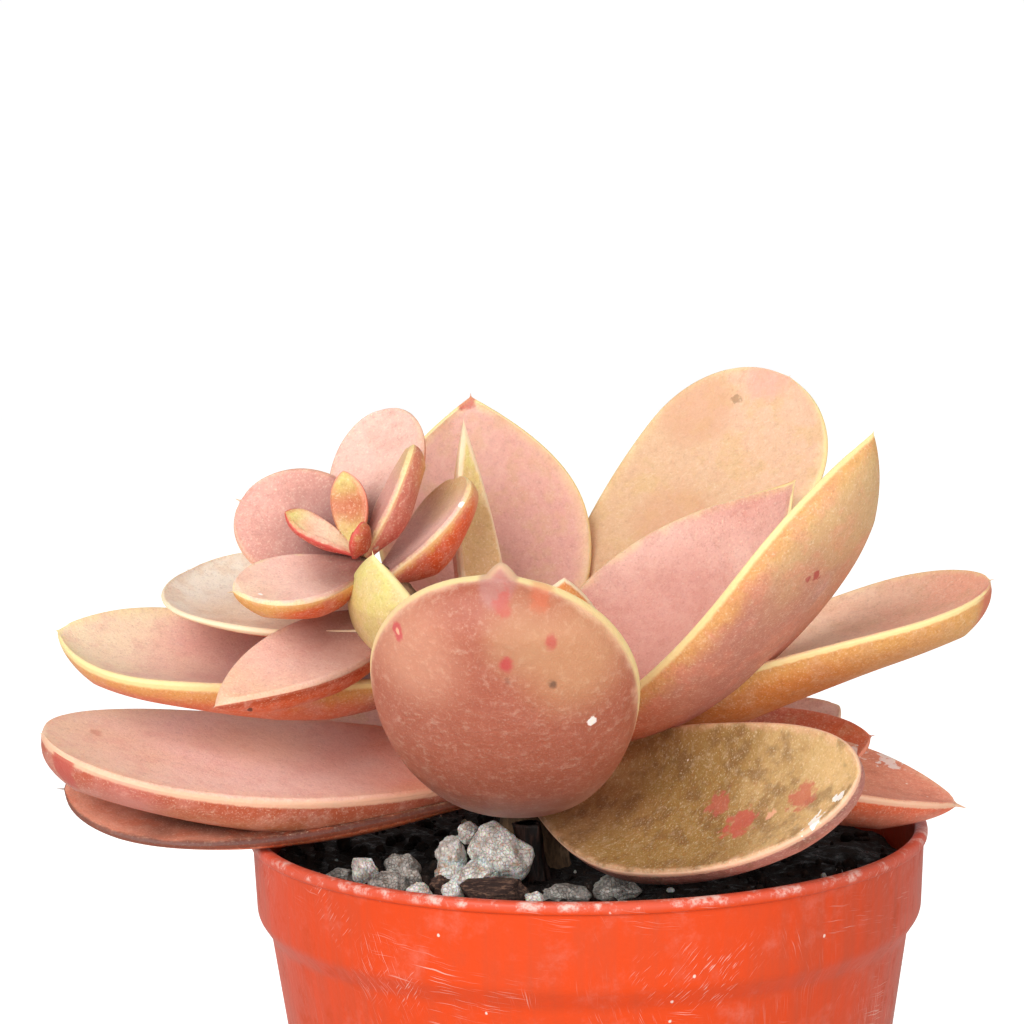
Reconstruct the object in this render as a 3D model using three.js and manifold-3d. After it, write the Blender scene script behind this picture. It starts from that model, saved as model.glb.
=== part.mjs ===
// A small echeveria in a plastic nursery pot.
// Millimetres, +Z up. The origin is the middle of the pot's flat underside.
// The plant is one rosette whose short stem leans left (-X) and forward (-Y), so the crown of
// young leaves hangs over the front left of the rim and the old leaves spread past the pot.
import * as THREE from 'three';
import { mergeVertices } from 'three/addons/utils/BufferGeometryUtils.js';
import Module from 'manifold-3d';

const wasm = await Module();
wasm.setup();

// Pot
const RIM_DIAMETER = 55;
const POT_HEIGHT = 50;
const BASE_DIAMETER = 39.4;
const POT_WALL = 0.8;
const COLLAR_HEIGHT = 6.6;
const COLLAR_STEP = 1.0;
const LIP_HEIGHT = 0.9;
const LIP_PROUD = 0.25;
const DRAIN_HOLES = 6;
const DRAIN_DIAMETER = 4.5;
const DRAIN_CIRCLE = 26;

// Soil
const SOIL_TOP = 46.6;
const SOIL_LUMP = 0.7;

// Gap kept between neighbouring pieces that press on each other
const GAP = 0.32;

// Stem: the line through its middle, and its radius at the foot and under the crown
const STEM_LINE = [
  [-4, 0, 38],
  [-4.3, -0.4, 47],
  [-4.6, -0.8, 54],
  [-6, -1.4, 59.5],
  [-9.8, -3.2, 63.5],
  [-14, -5.8, 68],
  [-17.4, -7.8, 72.4],
];
const STEM_FOOT_RADIUS = 3.4;
const STEM_CROWN_RADIUS = 1.5;

// Directions that the upper faces of the leaves look along, from the old leaves to the crown
const UP = [0, 0, 1];
const SHOULDER = [-0.15, -0.2, 0.97];
const CROWN = [-0.25, -0.38, 0.89];

// Leaves. Each one is long, wide and thick in millimetres, with its root on the stem. Heading turns
// from +X towards +Y, climb tilts the tip up, and roll and twist turn the upper face, all in degrees.
// Sag, sway and dish bend and hollow it, as shares of its length or width. Widest is where it is
// broadest, as a share of its length, and blunt and spine shape its tip.
const PLAIN_LEAF = {
  faces: UP,
  roll: 0,
  twist: 0,
  sag: 0.1,
  sway: 0,
  dish: 0.12,
  widest: 0.6,
  blunt: 0.5,
  neck: 0.35,
  spine: 0.06,
  sides: 10,
  rings: 12,
};

// The three youngest leaves, which grow as one bud
const BUD_LEAVES = [
  {
    root: [-18, -8.2, 73.2], heading: 124, climb: 80, roll: -5, faces: CROWN, long: 6.2, wide: 3.2,
    thick: 1.1, sag: 0.05, twist: 3, dish: 0.1, widest: 0.58, blunt: 0.75,
  },
  {
    root: [-17.6, -8.3, 73], heading: 183, climb: 31, roll: -7, faces: CROWN, long: 6.4, wide: 2.8,
    thick: 1.1, sag: 0.01, sway: 0.02, dish: 0.06, widest: 0.68, blunt: 0.78,
  },
  {
    root: [-17.8, -8, 72.7], heading: -69, climb: 57, roll: -9, faces: CROWN, long: 3.3, wide: 2.4,
    thick: 1.1, sag: 0, dish: 0.07, blunt: 0.67,
  },
];

// All the others, from the ones nearest the front to the hidden ones at the back
const LEAVES = {
  leaf_front: {
    root: [-5, -2.6, 54.8], heading: -92, climb: 39, roll: -4, long: 29, wide: 19.7, thick: 5.6,
    sag: 0.135, twist: -3, dish: 0.22, widest: 0.69, blunt: 0.45, finish: 'old_leaf',
  },
  leaf_front_right: {
    root: [-3.8, -2.2, 54.4], heading: -47, climb: 8, roll: 47, long: 34, wide: 13.6, thick: 5.2,
    sag: 0, sway: 0.07, twist: 12, widest: 0.47, blunt: 0.49, finish: 'old_leaf',
  },
  leaf_front_small: {
    root: [-7.4, -3.8, 60.6], heading: -134, climb: 46, roll: -7, faces: SHOULDER, long: 17.7, wide: 12.7,
    thick: 3.1, sag: 0.11, twist: -6, dish: 0.11, widest: 0.57, blunt: 0.93, finish: 'mid_leaf',
  },
  crown_leaf_front_low: {
    root: [-13.6, -6.4, 67.4], heading: 215, climb: -16, roll: -20, faces: CROWN, long: 18, wide: 7,
    thick: 3.8, sag: 0, sway: 0.065, twist: 15, dish: 0.03, widest: 0.46, blunt: 0.97, finish: 'young_leaf',
  },
  crown_leaf_front: {
    root: [-16.7, -8.3, 72], heading: 204, climb: -7, roll: -8, faces: CROWN, long: 11, wide: 7.2, thick: 3,
    sag: 0, twist: -5, dish: 0.06, widest: 0.55, blunt: 0.67, finish: 'young_leaf',
  },
  crown_leaf_right: {
    root: [-16, -7.4, 70.8], heading: 43, climb: 42, roll: -19, faces: CROWN, long: 11, wide: 7.5, thick: 3.1,
    sag: 0.04, sway: 0.015, twist: -2, dish: 0.07, widest: 0.73, finish: 'young_leaf',
  },
  crown_leaf_inner: {
    root: [-17.3, -7.4, 72.6], heading: 25, climb: 62, roll: -24, faces: CROWN, long: 9.7, wide: 4.3,
    thick: 2.2, sag: 0, sway: -0.015, twist: -12, dish: 0.02, widest: 0.58, finish: 'young_leaf',
  },
  crown_leaf_left: {
    root: [-17.2, -7.2, 73], heading: 159, climb: 19, roll: -35, faces: CROWN, long: 11.4, wide: 9.5,
    thick: 2.5, sag: 0, twist: 14, dish: 0.04, widest: 0.48, finish: 'young_leaf',
  },
  crown_leaf_back: {
    root: [-17.4, -7.4, 73], heading: 78, climb: 53, roll: -3, faces: CROWN, long: 13.4, wide: 8.5,
    thick: 2.3, sag: 0, twist: -2, dish: 0.07, widest: 0.58, finish: 'young_leaf',
  },
  leaf_front_right_tall: {
    root: [-4.4, -2.6, 56.4], heading: -24.4, climb: 42, roll: -6, long: 38.5, wide: 16.3, thick: 3.6,
    sway: -0.01, twist: -10, dish: 0.21, widest: 0.65, blunt: 1, finish: 'mid_leaf',
  },
  leaf_left_low: {
    root: [-6.4, -1, 55.2], heading: 192, climb: 6, roll: -14, long: 37.2, wide: 17.7, thick: 5.2,
    sag: 0.03, twist: 15, dish: 0.02, widest: 0.71, blunt: 0.45, finish: 'old_leaf',
  },
  leaf_left_lowest: {
    root: [-6, -0.6, 53], heading: 187.5, climb: 1.5, roll: -11, long: 36, wide: 19, thick: 2.1,
    sag: 0.02, sway: 0.015, twist: -18, dish: 0.04, blunt: 0.47, finish: 'old_leaf',
  },
  leaf_left_high: {
    root: [-13.6, -5.6, 67.6], heading: 161, climb: 9, roll: -4, faces: SHOULDER, long: 20, wide: 13.4,
    thick: 1.5, sag: 0, sway: -0.06, twist: 4, dish: 0.11, widest: 0.75, blunt: 0.45, finish: 'young_leaf',
  },
  leaf_left_mid: {
    root: [-9.4, -2.4, 62.8], heading: 182.5, climb: 6.5, roll: -13, long: 33, wide: 14, thick: 4.6,
    sag: 0, sway: -0.04, twist: -15, widest: 0.7, blunt: 0.78, finish: 'mid_leaf',
  },
  leaf_right_tall: {
    root: [-5, -0.6, 59.4], heading: 10.5, climb: 38, roll: 38, long: 29, wide: 16.8, thick: 3.6,
    twist: -12, dish: 0.1, widest: 0.48, blunt: 1.2, finish: 'mid_leaf',
  },
  leaf_narrow: {
    root: [-6, -2.4, 58.8], heading: 156, climb: 81, roll: -36, long: 24.3, wide: 4, thick: 3.1,
    sag: 0.04, dish: 0.1, widest: 0.4, blunt: 1.13, finish: 'mid_leaf',
  },
  leaf_front_inner: {
    root: [-4.6, -2.4, 58.2], heading: -76, climb: 46, long: 18.7, wide: 8, thick: 2.2,
    sag: 0.08, dish: 0.1, blunt: 0.9, finish: 'mid_leaf',
  },
  leaf_right_long: {
    root: [-3.8, 0.2, 57], heading: -7, climb: 19.4, roll: 4, long: 38.3, wide: 16.2, thick: 5.2,
    sag: -0.03, sway: 0.025, twist: 11, dish: 0.14, widest: 0.75, blunt: 0.55, finish: 'old_leaf',
  },
  leaf_right_low: {
    root: [-3.2, -0.2, 54.2], heading: -9, climb: -3.8, roll: 3, long: 33, wide: 16.3, thick: 5,
    sag: -0.08, twist: 2, dish: 0.08, widest: 0.62, blunt: 0.8, spine: 0.12, finish: 'old_leaf',
  },
  leaf_right_tucked: {
    root: [-3.2, 0.4, 54.4], heading: 7, climb: 3, roll: 25, long: 27, wide: 14.7, thick: 3.2,
    sag: 0.05, sway: -0.01, twist: -6, dish: 0.08, widest: 0.57, blunt: 0.68, finish: 'old_leaf',
  },
  leaf_right_far: {
    root: [-3.4, 0.9, 54.6], heading: 23, climb: 5, roll: 15, long: 27.5, wide: 13, thick: 3,
    sag: 0.05, dish: 0.08, blunt: 0.7, finish: 'old_leaf',
  },
  leaf_back_tall: {
    root: [-5.4, 0.6, 60.4], heading: 110, climb: 63.5, roll: -6, long: 26.4, wide: 18.4, thick: 4,
    sag: 0.12, dish: 0.08, widest: 0.57, blunt: 1, finish: 'mid_leaf',
  },
  leaf_back_right_tall: {
    root: [-4, 1, 58], heading: 33, climb: 46, roll: 27, long: 37.7, wide: 18, thick: 3.3,
    sag: 0.05, sway: -0.03, twist: -3, dish: 0.02, widest: 0.75, finish: 'mid_leaf',
  },
  leaf_behind_high: {
    root: [-7.2, -0.6, 61.6], heading: 137, climb: 20, long: 22, wide: 12, thick: 2.8,
    sag: 0.08, dish: 0.1, blunt: 0.8, finish: 'mid_leaf',
  },
  leaf_behind_right: {
    root: [-3.8, 0.8, 56], heading: 58, climb: 8, long: 30, wide: 16, thick: 3.6,
    sag: 0.06, dish: 0.1, finish: 'old_leaf',
  },
  leaf_behind: {
    root: [-4.8, 1.2, 55.4], heading: 98, climb: 6, long: 30, wide: 16, thick: 3.6,
    sag: 0.06, dish: 0.1, finish: 'old_leaf',
  },
  leaf_behind_left: {
    root: [-6.4, 0.2, 57.2], heading: 152, climb: 3, long: 27, wide: 14, thick: 3.4,
    sag: 0.05, dish: 0.1, finish: 'old_leaf',
  },
  leaf_behind_inner: {
    root: [-4.8, 0.8, 59.4], heading: 72, climb: 22, long: 20, wide: 13, thick: 3,
    sag: 0.08, dish: 0.1, blunt: 0.7, finish: 'mid_leaf',
  },
};

// Stones and bark on the mix, each one or more rough lumps with a middle and three radii
const STONES = {
  pumice_clump: {
    finish: 'pale_pumice',
    lumps: [
      { at: [-6.9, -10.5, 49.6], radii: [2.3, 1.8, 2.3] },
      { at: [-10.6, -9, 49.2], radii: [1.4, 1.3, 1.4] },
      { at: [-9.2, -9.1, 51.1], radii: [0.8, 0.8, 0.8] },
      { at: [-10.6, -10.2, 47.8], radii: [1.4, 1.1, 1.3] },
      { at: [-8.4, -11.3, 48], radii: [1.6, 1.4, 1.6] },
    ],
  },
  bark_chip: { finish: 'bark', lumps: [{ at: [-6.9, -14.5, 47.6], radii: [2.4, 1.2, 1.3] }] },
  bark_chip_small: { finish: 'bark', lumps: [{ at: [-11.2, -12.9, 47.4], radii: [0.9, 0.8, 1.2] }] },
  pumice_white: { finish: 'pale_pumice', lumps: [{ at: [-10.3, -14.8, 47.7], radii: [0.85, 0.8, 0.8] }] },
  pumice_cream: { finish: 'pale_pumice', lumps: [{ at: [-17.4, -10.2, 48.4], radii: [1.05, 0.9, 1.1] }] },
  pumice_grey: { finish: 'grey_pumice', lumps: [{ at: [-15.4, -12.9, 47.6], radii: [1.6, 1.3, 1.3] }] },
  pumice_grey_back: { finish: 'grey_pumice', lumps: [{ at: [-14.5, -8.6, 48], radii: [1.3, 1.1, 1.3] }] },
  stone_dark_left: { finish: 'grey_pumice', lumps: [{ at: [-19.6, -8.4, 47.2], radii: [1.3, 1, 0.9] }] },
  pumice_grey_small: { finish: 'grey_pumice', lumps: [{ at: [-13.6, -11, 47.5], radii: [0.9, 0.9, 1.1] }] },
  pumice_white_small: {
    finish: 'pale_pumice',
    lumps: [{ at: [-12.9, -14.6, 47.4], radii: [0.9, 0.8, 0.9] }],
  },
  pumice_white_front: { finish: 'pale_pumice', lumps: [{ at: [-3.9, -16.9, 47.5], radii: [0.8, 0.6, 0.7] }] },
  stone_right: { finish: 'grey_pumice', lumps: [{ at: [-1.6, -13.4, 47], radii: [1.8, 1.2, 1] }] },
  stone_right_back: { finish: 'grey_pumice', lumps: [{ at: [2.2, -12, 47.2], radii: [1.6, 1.4, 1.1] }] },
};

// The curled foot of a dead leaf: a strip whose section is most of a ring, drawn up from the mix
const DRY_LEAF = {
  at: [-3.9, -7, 45.6],
  radius: 1.3,
  wall: 0.6,
  height: 5.6,
  lean: -8,
};

// Colours by what the piece is made of
const FINISHES = {
  terracotta: { color: 0xd2552b, roughness: 0.5, metalness: 0 },
  potting_mix: { color: 0x211c19, roughness: 1, metalness: 0 },
  stem: { color: 0x8a6a4c, roughness: 0.9, metalness: 0 },
  old_leaf: { color: 0xc98d74, roughness: 0.55, metalness: 0 },
  mid_leaf: { color: 0xd79b88, roughness: 0.55, metalness: 0 },
  young_leaf: { color: 0xb98a82, roughness: 0.6, metalness: 0 },
  bud: { color: 0xd8806f, roughness: 0.55, metalness: 0 },
  pale_pumice: { color: 0xd9d2c7, roughness: 0.9, metalness: 0 },
  grey_pumice: { color: 0x8c8882, roughness: 0.95, metalness: 0 },
  bark: { color: 0x5a4032, roughness: 0.95, metalness: 0 },
};
const materials = Object.fromEntries(
  Object.entries(FINISHES).map(([name, finish]) => [name, new THREE.MeshStandardMaterial(finish)]),
);

// Solids and meshes

// A geometry with only its corners kept, and equal corners made one
function cornersOnly(geometry) {
  geometry.deleteAttribute('normal');
  geometry.deleteAttribute('uv');
  return mergeVertices(geometry, 1e-4);
}

// The closed geometry as a solid that can be joined and cut
function solid(geometry) {
  const merged = cornersOnly(geometry);
  const vertProperties = new Float32Array(merged.attributes.position.array);
  const triVerts = new Uint32Array(merged.index.array);
  return new wasm.Manifold(new wasm.Mesh({ numProp: 3, vertProperties, triVerts }));
}

// The solid's largest piece as a geometry: a cut can leave loose scraps
function geometryOf(body) {
  const pieces = body.decompose();
  const largest = pieces.reduce((a, b) => (a.volume() > b.volume() ? a : b));
  const { vertProperties, triVerts } = largest.getMesh();
  const geometry = new THREE.BufferGeometry();
  geometry.setAttribute('position', new THREE.BufferAttribute(vertProperties, 3));
  geometry.setIndex(new THREE.BufferAttribute(triVerts, 1));
  return geometry;
}

// The geometry with every corner moved out along its normal
function grown(geometry, gap) {
  const fat = cornersOnly(geometry.clone());
  fat.computeVertexNormals();
  const { position, normal } = fat.attributes;
  for (let i = 0; i < position.count; i++) {
    const corner = new THREE.Vector3().fromBufferAttribute(position, i);
    corner.addScaledVector(new THREE.Vector3().fromBufferAttribute(normal, i), gap);
    position.setXYZ(i, ...corner);
  }
  return fat;
}

function mesh(name, geometry, finish) {
  const piece = new THREE.Mesh(geometry, materials[finish]);
  piece.name = name;
  return piece;
}

// A smooth bump field without any random draw, about -1 to 1
function bumps(x, y, z) {
  return (
    (Math.sin(1.31 * x + 2.1 * y + 0.7) +
      Math.sin(2.27 * y - 1.4 * z + 2.3) +
      Math.sin(1.83 * z + 1.13 * x + 4.1) +
      Math.sin(2.9 * x - 2.3 * y + 1.9 * z)) /
    3
  );
}

// Pot

// The wall's outer line from the base to the lip, then the inner line back down, in radius and height
const rimRadius = RIM_DIAMETER / 2;
const baseRadius = BASE_DIAMETER / 2;
const lipFoot = rimRadius - LIP_PROUD;
const collarFoot = lipFoot - 0.35;
const stepRadius = collarFoot - COLLAR_STEP;
const collarBottom = POT_HEIGHT - COLLAR_HEIGHT;
const stepBottom = collarBottom - 1.6;

function turned(profile, segments) {
  const outline = profile.map(([r, z]) => new THREE.Vector2(r, z));
  return new THREE.LatheGeometry(outline, segments).rotateX(Math.PI / 2);
}

const potProfile = [
  [0, 0],
  [baseRadius, 0],
  [stepRadius, stepBottom],
  [collarFoot, collarBottom],
  [lipFoot, POT_HEIGHT - LIP_HEIGHT],
  [rimRadius, POT_HEIGHT - 0.75 * LIP_HEIGHT],
  [rimRadius, POT_HEIGHT - 0.3 * LIP_HEIGHT],
  [rimRadius - 0.3, POT_HEIGHT],
  [lipFoot - POT_WALL, POT_HEIGHT],
  [collarFoot - POT_WALL, collarBottom],
  [stepRadius - POT_WALL, stepBottom],
  [baseRadius - POT_WALL, POT_WALL],
  [0, POT_WALL],
];

function potSolid() {
  let shell = solid(turned(potProfile, 48));
  for (let i = 0; i < DRAIN_HOLES; i++) {
    const angle = (2 * Math.PI * (i + 0.5)) / DRAIN_HOLES;
    const drill = new THREE.CylinderGeometry(DRAIN_DIAMETER / 2, DRAIN_DIAMETER / 2, 4, 16);
    drill.rotateX(Math.PI / 2);
    drill.translate((DRAIN_CIRCLE / 2) * Math.cos(angle), (DRAIN_CIRCLE / 2) * Math.sin(angle), 0.5);
    shell = shell.subtract(solid(drill));
  }
  return shell;
}

// Stem: a tapered rod with round ends, bent along its line

const stemCurve = new THREE.CatmullRomCurve3(STEM_LINE.map((p) => new THREE.Vector3(...p)));

function stemGeometry() {
  const rod = new THREE.SphereGeometry(1, 10, 13);
  const { position, uv } = rod.attributes;
  for (let i = 0; i < position.count; i++) {
    const along = uv.getY(i);
    const around = 2 * Math.PI * uv.getX(i);
    const middle = stemCurve.getPointAt(along);
    const tangent = stemCurve.getTangentAt(along);
    const side = new THREE.Vector3(0, 1, 0).cross(tangent).normalize();
    const front = tangent.clone().cross(side);
    const taper = STEM_FOOT_RADIUS + (STEM_CROWN_RADIUS - STEM_FOOT_RADIUS) * along;
    const radius = taper * Math.min(1, Math.sin(Math.PI * along) * 4);
    middle.addScaledVector(side, radius * Math.cos(around));
    middle.addScaledVector(front, radius * Math.sin(around));
    position.setXYZ(i, ...middle);
  }
  return cornersOnly(rod);
}

// Leaves

// Half the width at the share t of the length, as a share of the widest half width
function halfWidth(leaf, t) {
  const opening = leaf.neck + (1 - leaf.neck) * Math.sin((Math.min(t / leaf.widest, 1) * Math.PI) / 2) ** 1.2;
  const closing = (1 - Math.max((t - leaf.widest) / (1 - leaf.widest), 0) ** 2.2) ** leaf.blunt;
  const body = t < leaf.widest ? opening : closing;
  const spine = leaf.spine * Math.min((1 - t) / 0.09, 1);
  return Math.cbrt(body ** 3 + spine ** 3);
}

// Depth of the rounded underside at the share t of the length, in millimetres
function depth(leaf, t) {
  const swelling = 0.55 + 0.45 * Math.sin((Math.min(t / 0.45, 1) * Math.PI) / 2);
  const thinning = 1 - 0.35 * Math.max((t - 0.45) / 0.55, 0);
  return leaf.thick * swelling * thinning * Math.min(1, (halfWidth(leaf, t) / 0.75) ** 0.8);
}

// The leaf's own frame: X along it, Z the way its upper face looks, with its root at the origin
function leafPlace(leaf) {
  const heading = THREE.MathUtils.degToRad(leaf.heading);
  const climb = THREE.MathUtils.degToRad(leaf.climb);
  const ahead = new THREE.Vector3(Math.cos(heading), Math.sin(heading), 0).multiplyScalar(Math.cos(climb));
  ahead.z = Math.sin(climb);
  const face = new THREE.Vector3(...leaf.faces).normalize();
  face.addScaledVector(ahead, -face.dot(ahead)).normalize();
  face.applyAxisAngle(ahead, THREE.MathUtils.degToRad(leaf.roll));
  const left = face.clone().cross(ahead);
  return new THREE.Matrix4().makeBasis(ahead, left, face).setPosition(...leaf.root);
}

// The middle of the leaf at the share t, in its own frame: it sags below and swerves beside its chord
function midrib(leaf, t) {
  const arch = 4 * t * (1 - t) * leaf.long;
  return new THREE.Vector3(t * leaf.long, -leaf.sway * arch, -leaf.sag * arch);
}

// A sphere drawn out into a leaf: its equator's angle goes round the section, and its poles become
// the flat root and the spine at the tip. The upper face is dished, the underside is rounded.
function leafGeometry(leaf) {
  const rings = leaf.rings;
  const ball = new THREE.SphereGeometry(1, leaf.sides, rings);
  const { position, uv } = ball.attributes;
  for (let i = 0; i < position.count; i++) {
    const along = Math.max((uv.getY(i) * rings - 1) / (rings - 1), 0);
    const around = -2 * Math.PI * uv.getX(i);
    const isPole = uv.getY(i) < 1e-6 || uv.getY(i) > 1 - 1e-6;
    const t = 1 - (1 - along) ** 1.35;
    const across = Math.cos(around);
    const above = Math.sin(around);
    const share = halfWidth(leaf, t);
    const deep = depth(leaf, t);
    const edge = Math.min(0.35, 0.3 * deep) * Math.min(1, above / 0.5);
    const dish = leaf.dish * leaf.wide * share * above ** 2;
    const x = isPole ? 0 : 0.5 * leaf.wide * share * across;
    const z = isPole ? 0 : above > 0 ? edge - dish : -deep * Math.abs(above) ** 0.85;
    const step = 0.002;
    const from = midrib(leaf, Math.max(t - step, 0));
    const tangent = midrib(leaf, Math.min(t + step, 1)).sub(from).normalize();
    const twist = THREE.MathUtils.degToRad(leaf.twist * (t - 0.5));
    const face = new THREE.Vector3(0, -Math.sin(twist), Math.cos(twist));
    face.addScaledVector(tangent, -face.dot(tangent)).normalize();
    const right = tangent.clone().cross(face);
    const corner = midrib(leaf, t).addScaledVector(right, x).addScaledVector(face, z);
    position.setXYZ(i, ...corner);
  }
  return cornersOnly(ball).applyMatrix4(leafPlace(leaf));
}

// Loose lumps

// A rough stone: a subdivided icosahedron with its corners pushed in and out
function lumpGeometry({ at, radii, detail = 1 }) {
  const stone = cornersOnly(new THREE.IcosahedronGeometry(1, detail));
  const { position } = stone.attributes;
  for (let i = 0; i < position.count; i++) {
    const corner = new THREE.Vector3().fromBufferAttribute(position, i);
    const rough = 1 + 0.16 * bumps(3 * corner.x + at[0], 3 * corner.y + at[1], 3 * corner.z + at[2]);
    corner.multiplyScalar(rough).multiply(new THREE.Vector3(...radii)).add(new THREE.Vector3(...at));
    position.setXYZ(i, ...corner);
  }
  return stone;
}

// A curled strip of dead leaf: a crescent drawn upwards
function dryLeafGeometry() {
  const { at, radius, wall, height, lean } = DRY_LEAF;
  const crescent = new THREE.Shape();
  crescent.absarc(0, 0, radius, 0.15 * Math.PI, 1.75 * Math.PI, false);
  crescent.absarc(0, 0, radius - wall, 1.75 * Math.PI, 0.15 * Math.PI, true);
  crescent.closePath();
  const upwards = { depth: height, bevelEnabled: false, curveSegments: 10 };
  const strip = new THREE.ExtrudeGeometry(crescent, upwards);
  strip.rotateY(THREE.MathUtils.degToRad(lean));
  strip.translate(...at);
  return cornersOnly(strip);
}

// Assembly

const plant = new THREE.Group();
const stem = stemGeometry();
const stemWithGap = solid(grown(stem, GAP));
plant.add(mesh('pot', geometryOf(potSolid()), 'terracotta'));
plant.add(mesh('stem', stem, 'stem'));

// The bud's leaves are joined at their roots
const bud = BUD_LEAVES.map((shape) => leafGeometry({ ...PLAIN_LEAF, ...shape, sides: 8, rings: 9 }));
const budBody = bud.map((leaf) => solid(leaf.clone())).reduce((a, b) => a.add(b));
plant.add(mesh('bud', geometryOf(budBody.subtract(stemWithGap)), 'bud'));

// Each leaf stops short of the stem, and where it presses on a leaf built before it, it is dented by it
const builtLeaves = bud.map((leaf) => solid(grown(leaf, GAP)));
for (const [name, shape] of Object.entries(LEAVES)) {
  const leaf = { ...PLAIN_LEAF, ...shape };
  const whole = leafGeometry(leaf);
  let body = solid(whole.clone()).subtract(stemWithGap);
  for (const neighbour of builtLeaves) {
    body = body.subtract(neighbour);
  }
  builtLeaves.push(solid(grown(whole, GAP)));
  const place = leafPlace(leaf);
  const piece = mesh(name, geometryOf(body).applyMatrix4(place.clone().invert()), leaf.finish);
  piece.applyMatrix4(place);
  plant.add(piece);
}

// The stones and bark that lie on the mix, each sunk in a socket of its own shape
const sockets = [stemWithGap];
for (const [name, { finish, lumps }] of Object.entries(STONES)) {
  let body = lumps.map((lump) => solid(lumpGeometry(lump))).reduce((a, b) => a.add(b));
  for (const socket of sockets) {
    body = body.subtract(socket);
  }
  sockets.push(...lumps.map((lump) => solid(grown(lumpGeometry(lump), GAP))));
  plant.add(mesh(name, geometryOf(body), finish));
}
sockets.push(solid(grown(dryLeafGeometry(), GAP)));
plant.add(mesh('dry_leaf', dryLeafGeometry(), 'bark'));

// The mix fills the pot to just under its collar and is lumpy on top
function soilGeometry() {
  const topRadius = collarFoot - POT_WALL - GAP;
  const rings = 6;
  const profile = [
    [0, POT_WALL + GAP],
    [baseRadius - POT_WALL - GAP, POT_WALL + GAP],
    [stepRadius - POT_WALL - GAP, stepBottom],
    [topRadius, SOIL_TOP - 1],
  ];
  for (let i = 0; i <= rings; i++) {
    profile.push([topRadius * (1 - i / rings), SOIL_TOP]);
  }
  const plug = cornersOnly(turned(profile, 36));
  const { position } = plug.attributes;
  for (let i = 0; i < position.count; i++) {
    if (position.getZ(i) > SOIL_TOP - 0.01) {
      const [x, y] = [position.getX(i), position.getY(i)];
      position.setZ(i, SOIL_TOP + SOIL_LUMP * bumps(0.5 * x, 0.5 * y, 0.4 * (x + y)));
    }
  }
  return plug;
}

let soil = solid(soilGeometry());
for (const socket of sockets) {
  soil = soil.subtract(socket);
}
plant.add(mesh('soil', geometryOf(soil), 'potting_mix'));

export default plant;
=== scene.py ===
import math

import bpy
import numpy as np
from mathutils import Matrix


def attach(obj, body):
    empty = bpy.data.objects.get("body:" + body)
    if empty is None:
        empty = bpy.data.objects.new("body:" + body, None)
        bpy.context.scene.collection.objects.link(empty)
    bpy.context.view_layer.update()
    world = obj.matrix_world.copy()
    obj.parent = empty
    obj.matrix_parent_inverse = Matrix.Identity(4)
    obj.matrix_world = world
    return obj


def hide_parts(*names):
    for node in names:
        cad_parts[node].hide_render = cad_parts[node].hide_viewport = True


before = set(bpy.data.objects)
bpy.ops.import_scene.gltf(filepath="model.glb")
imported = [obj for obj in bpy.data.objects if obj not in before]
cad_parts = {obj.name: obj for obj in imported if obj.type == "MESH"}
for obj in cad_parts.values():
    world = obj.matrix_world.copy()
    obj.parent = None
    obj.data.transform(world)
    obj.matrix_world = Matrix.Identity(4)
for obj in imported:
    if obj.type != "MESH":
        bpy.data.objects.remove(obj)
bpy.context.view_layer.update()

# Pot
# One thin-walled nursery pot, injection moulded in terracotta-coloured plastic: a beaded lip, a tall
# collar with a step under it, a slight taper down to the foot and six drain holes in the floor. It
# has been handled and watered for months, so it is scuffed, dusty and rubbed white in patches on
# the lip. Its colour also carries painted light: paler all round the top of the lip as a highlight,
# and darker and browner towards the right side as shade.
MM = 0.001
RIM_RADIUS = 27.5 * MM
POT_HEIGHT = 50 * MM
FOOT_RADIUS = 19.7 * MM
POT_WALL = 0.8 * MM
LIP_PROUD = 0.25 * MM
LIP_HEIGHT = 0.9 * MM
COLLAR_HEIGHT = 6.6 * MM
COLLAR_LEAN = 0.35 * MM
COLLAR_STEP = 1.0 * MM
STEP_HEIGHT = 1.6 * MM
DRAIN_HOLES = 6
DRAIN_RADIUS = 2.25 * MM
DRAIN_CIRCLE = 13 * MM
DRILL_LOW = -2 * MM
DRILL_HIGH = 3 * MM
DRILL_AROUND = 40
DRILL_POLE = 0.01 * MM
POLE_RADIUS = 0.02 * MM
CORNER_REACH = 0.45 * MM
PROFILE_STEP = 1.5 * MM
POT_AROUND = 288

TERRACOTTA = "#d9430f"
TERRACOTTA_WORN_AND_SHADE = "#b8492c"
TERRACOTTA_LIP_HIGHLIGHT = "#d4604c"
SCUFF_WHITE = "#f0d8cc"
CRUMB_BROWN = "#6d3322"
# Layers of scuffs: turn in radians, shift of the pattern, and length and width in millimetres
SCUFFS = (0.12, 0.0, 4.5, 0.09), (1.2, 31.0, 1.8, 0.08), (2.3, 57.0, 1.4, 0.09), (1.5, 83.0, 4.0, 0.08)
SCRATCH_WOBBLE = (0.45, 0.45, 0)
# Layers of chalky specks: size and spacing in millimetres, and rarity
CHALK_SPECKS = (0.16, 1.6, 0.8), (0.3, 4.5, 0.82)


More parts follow.
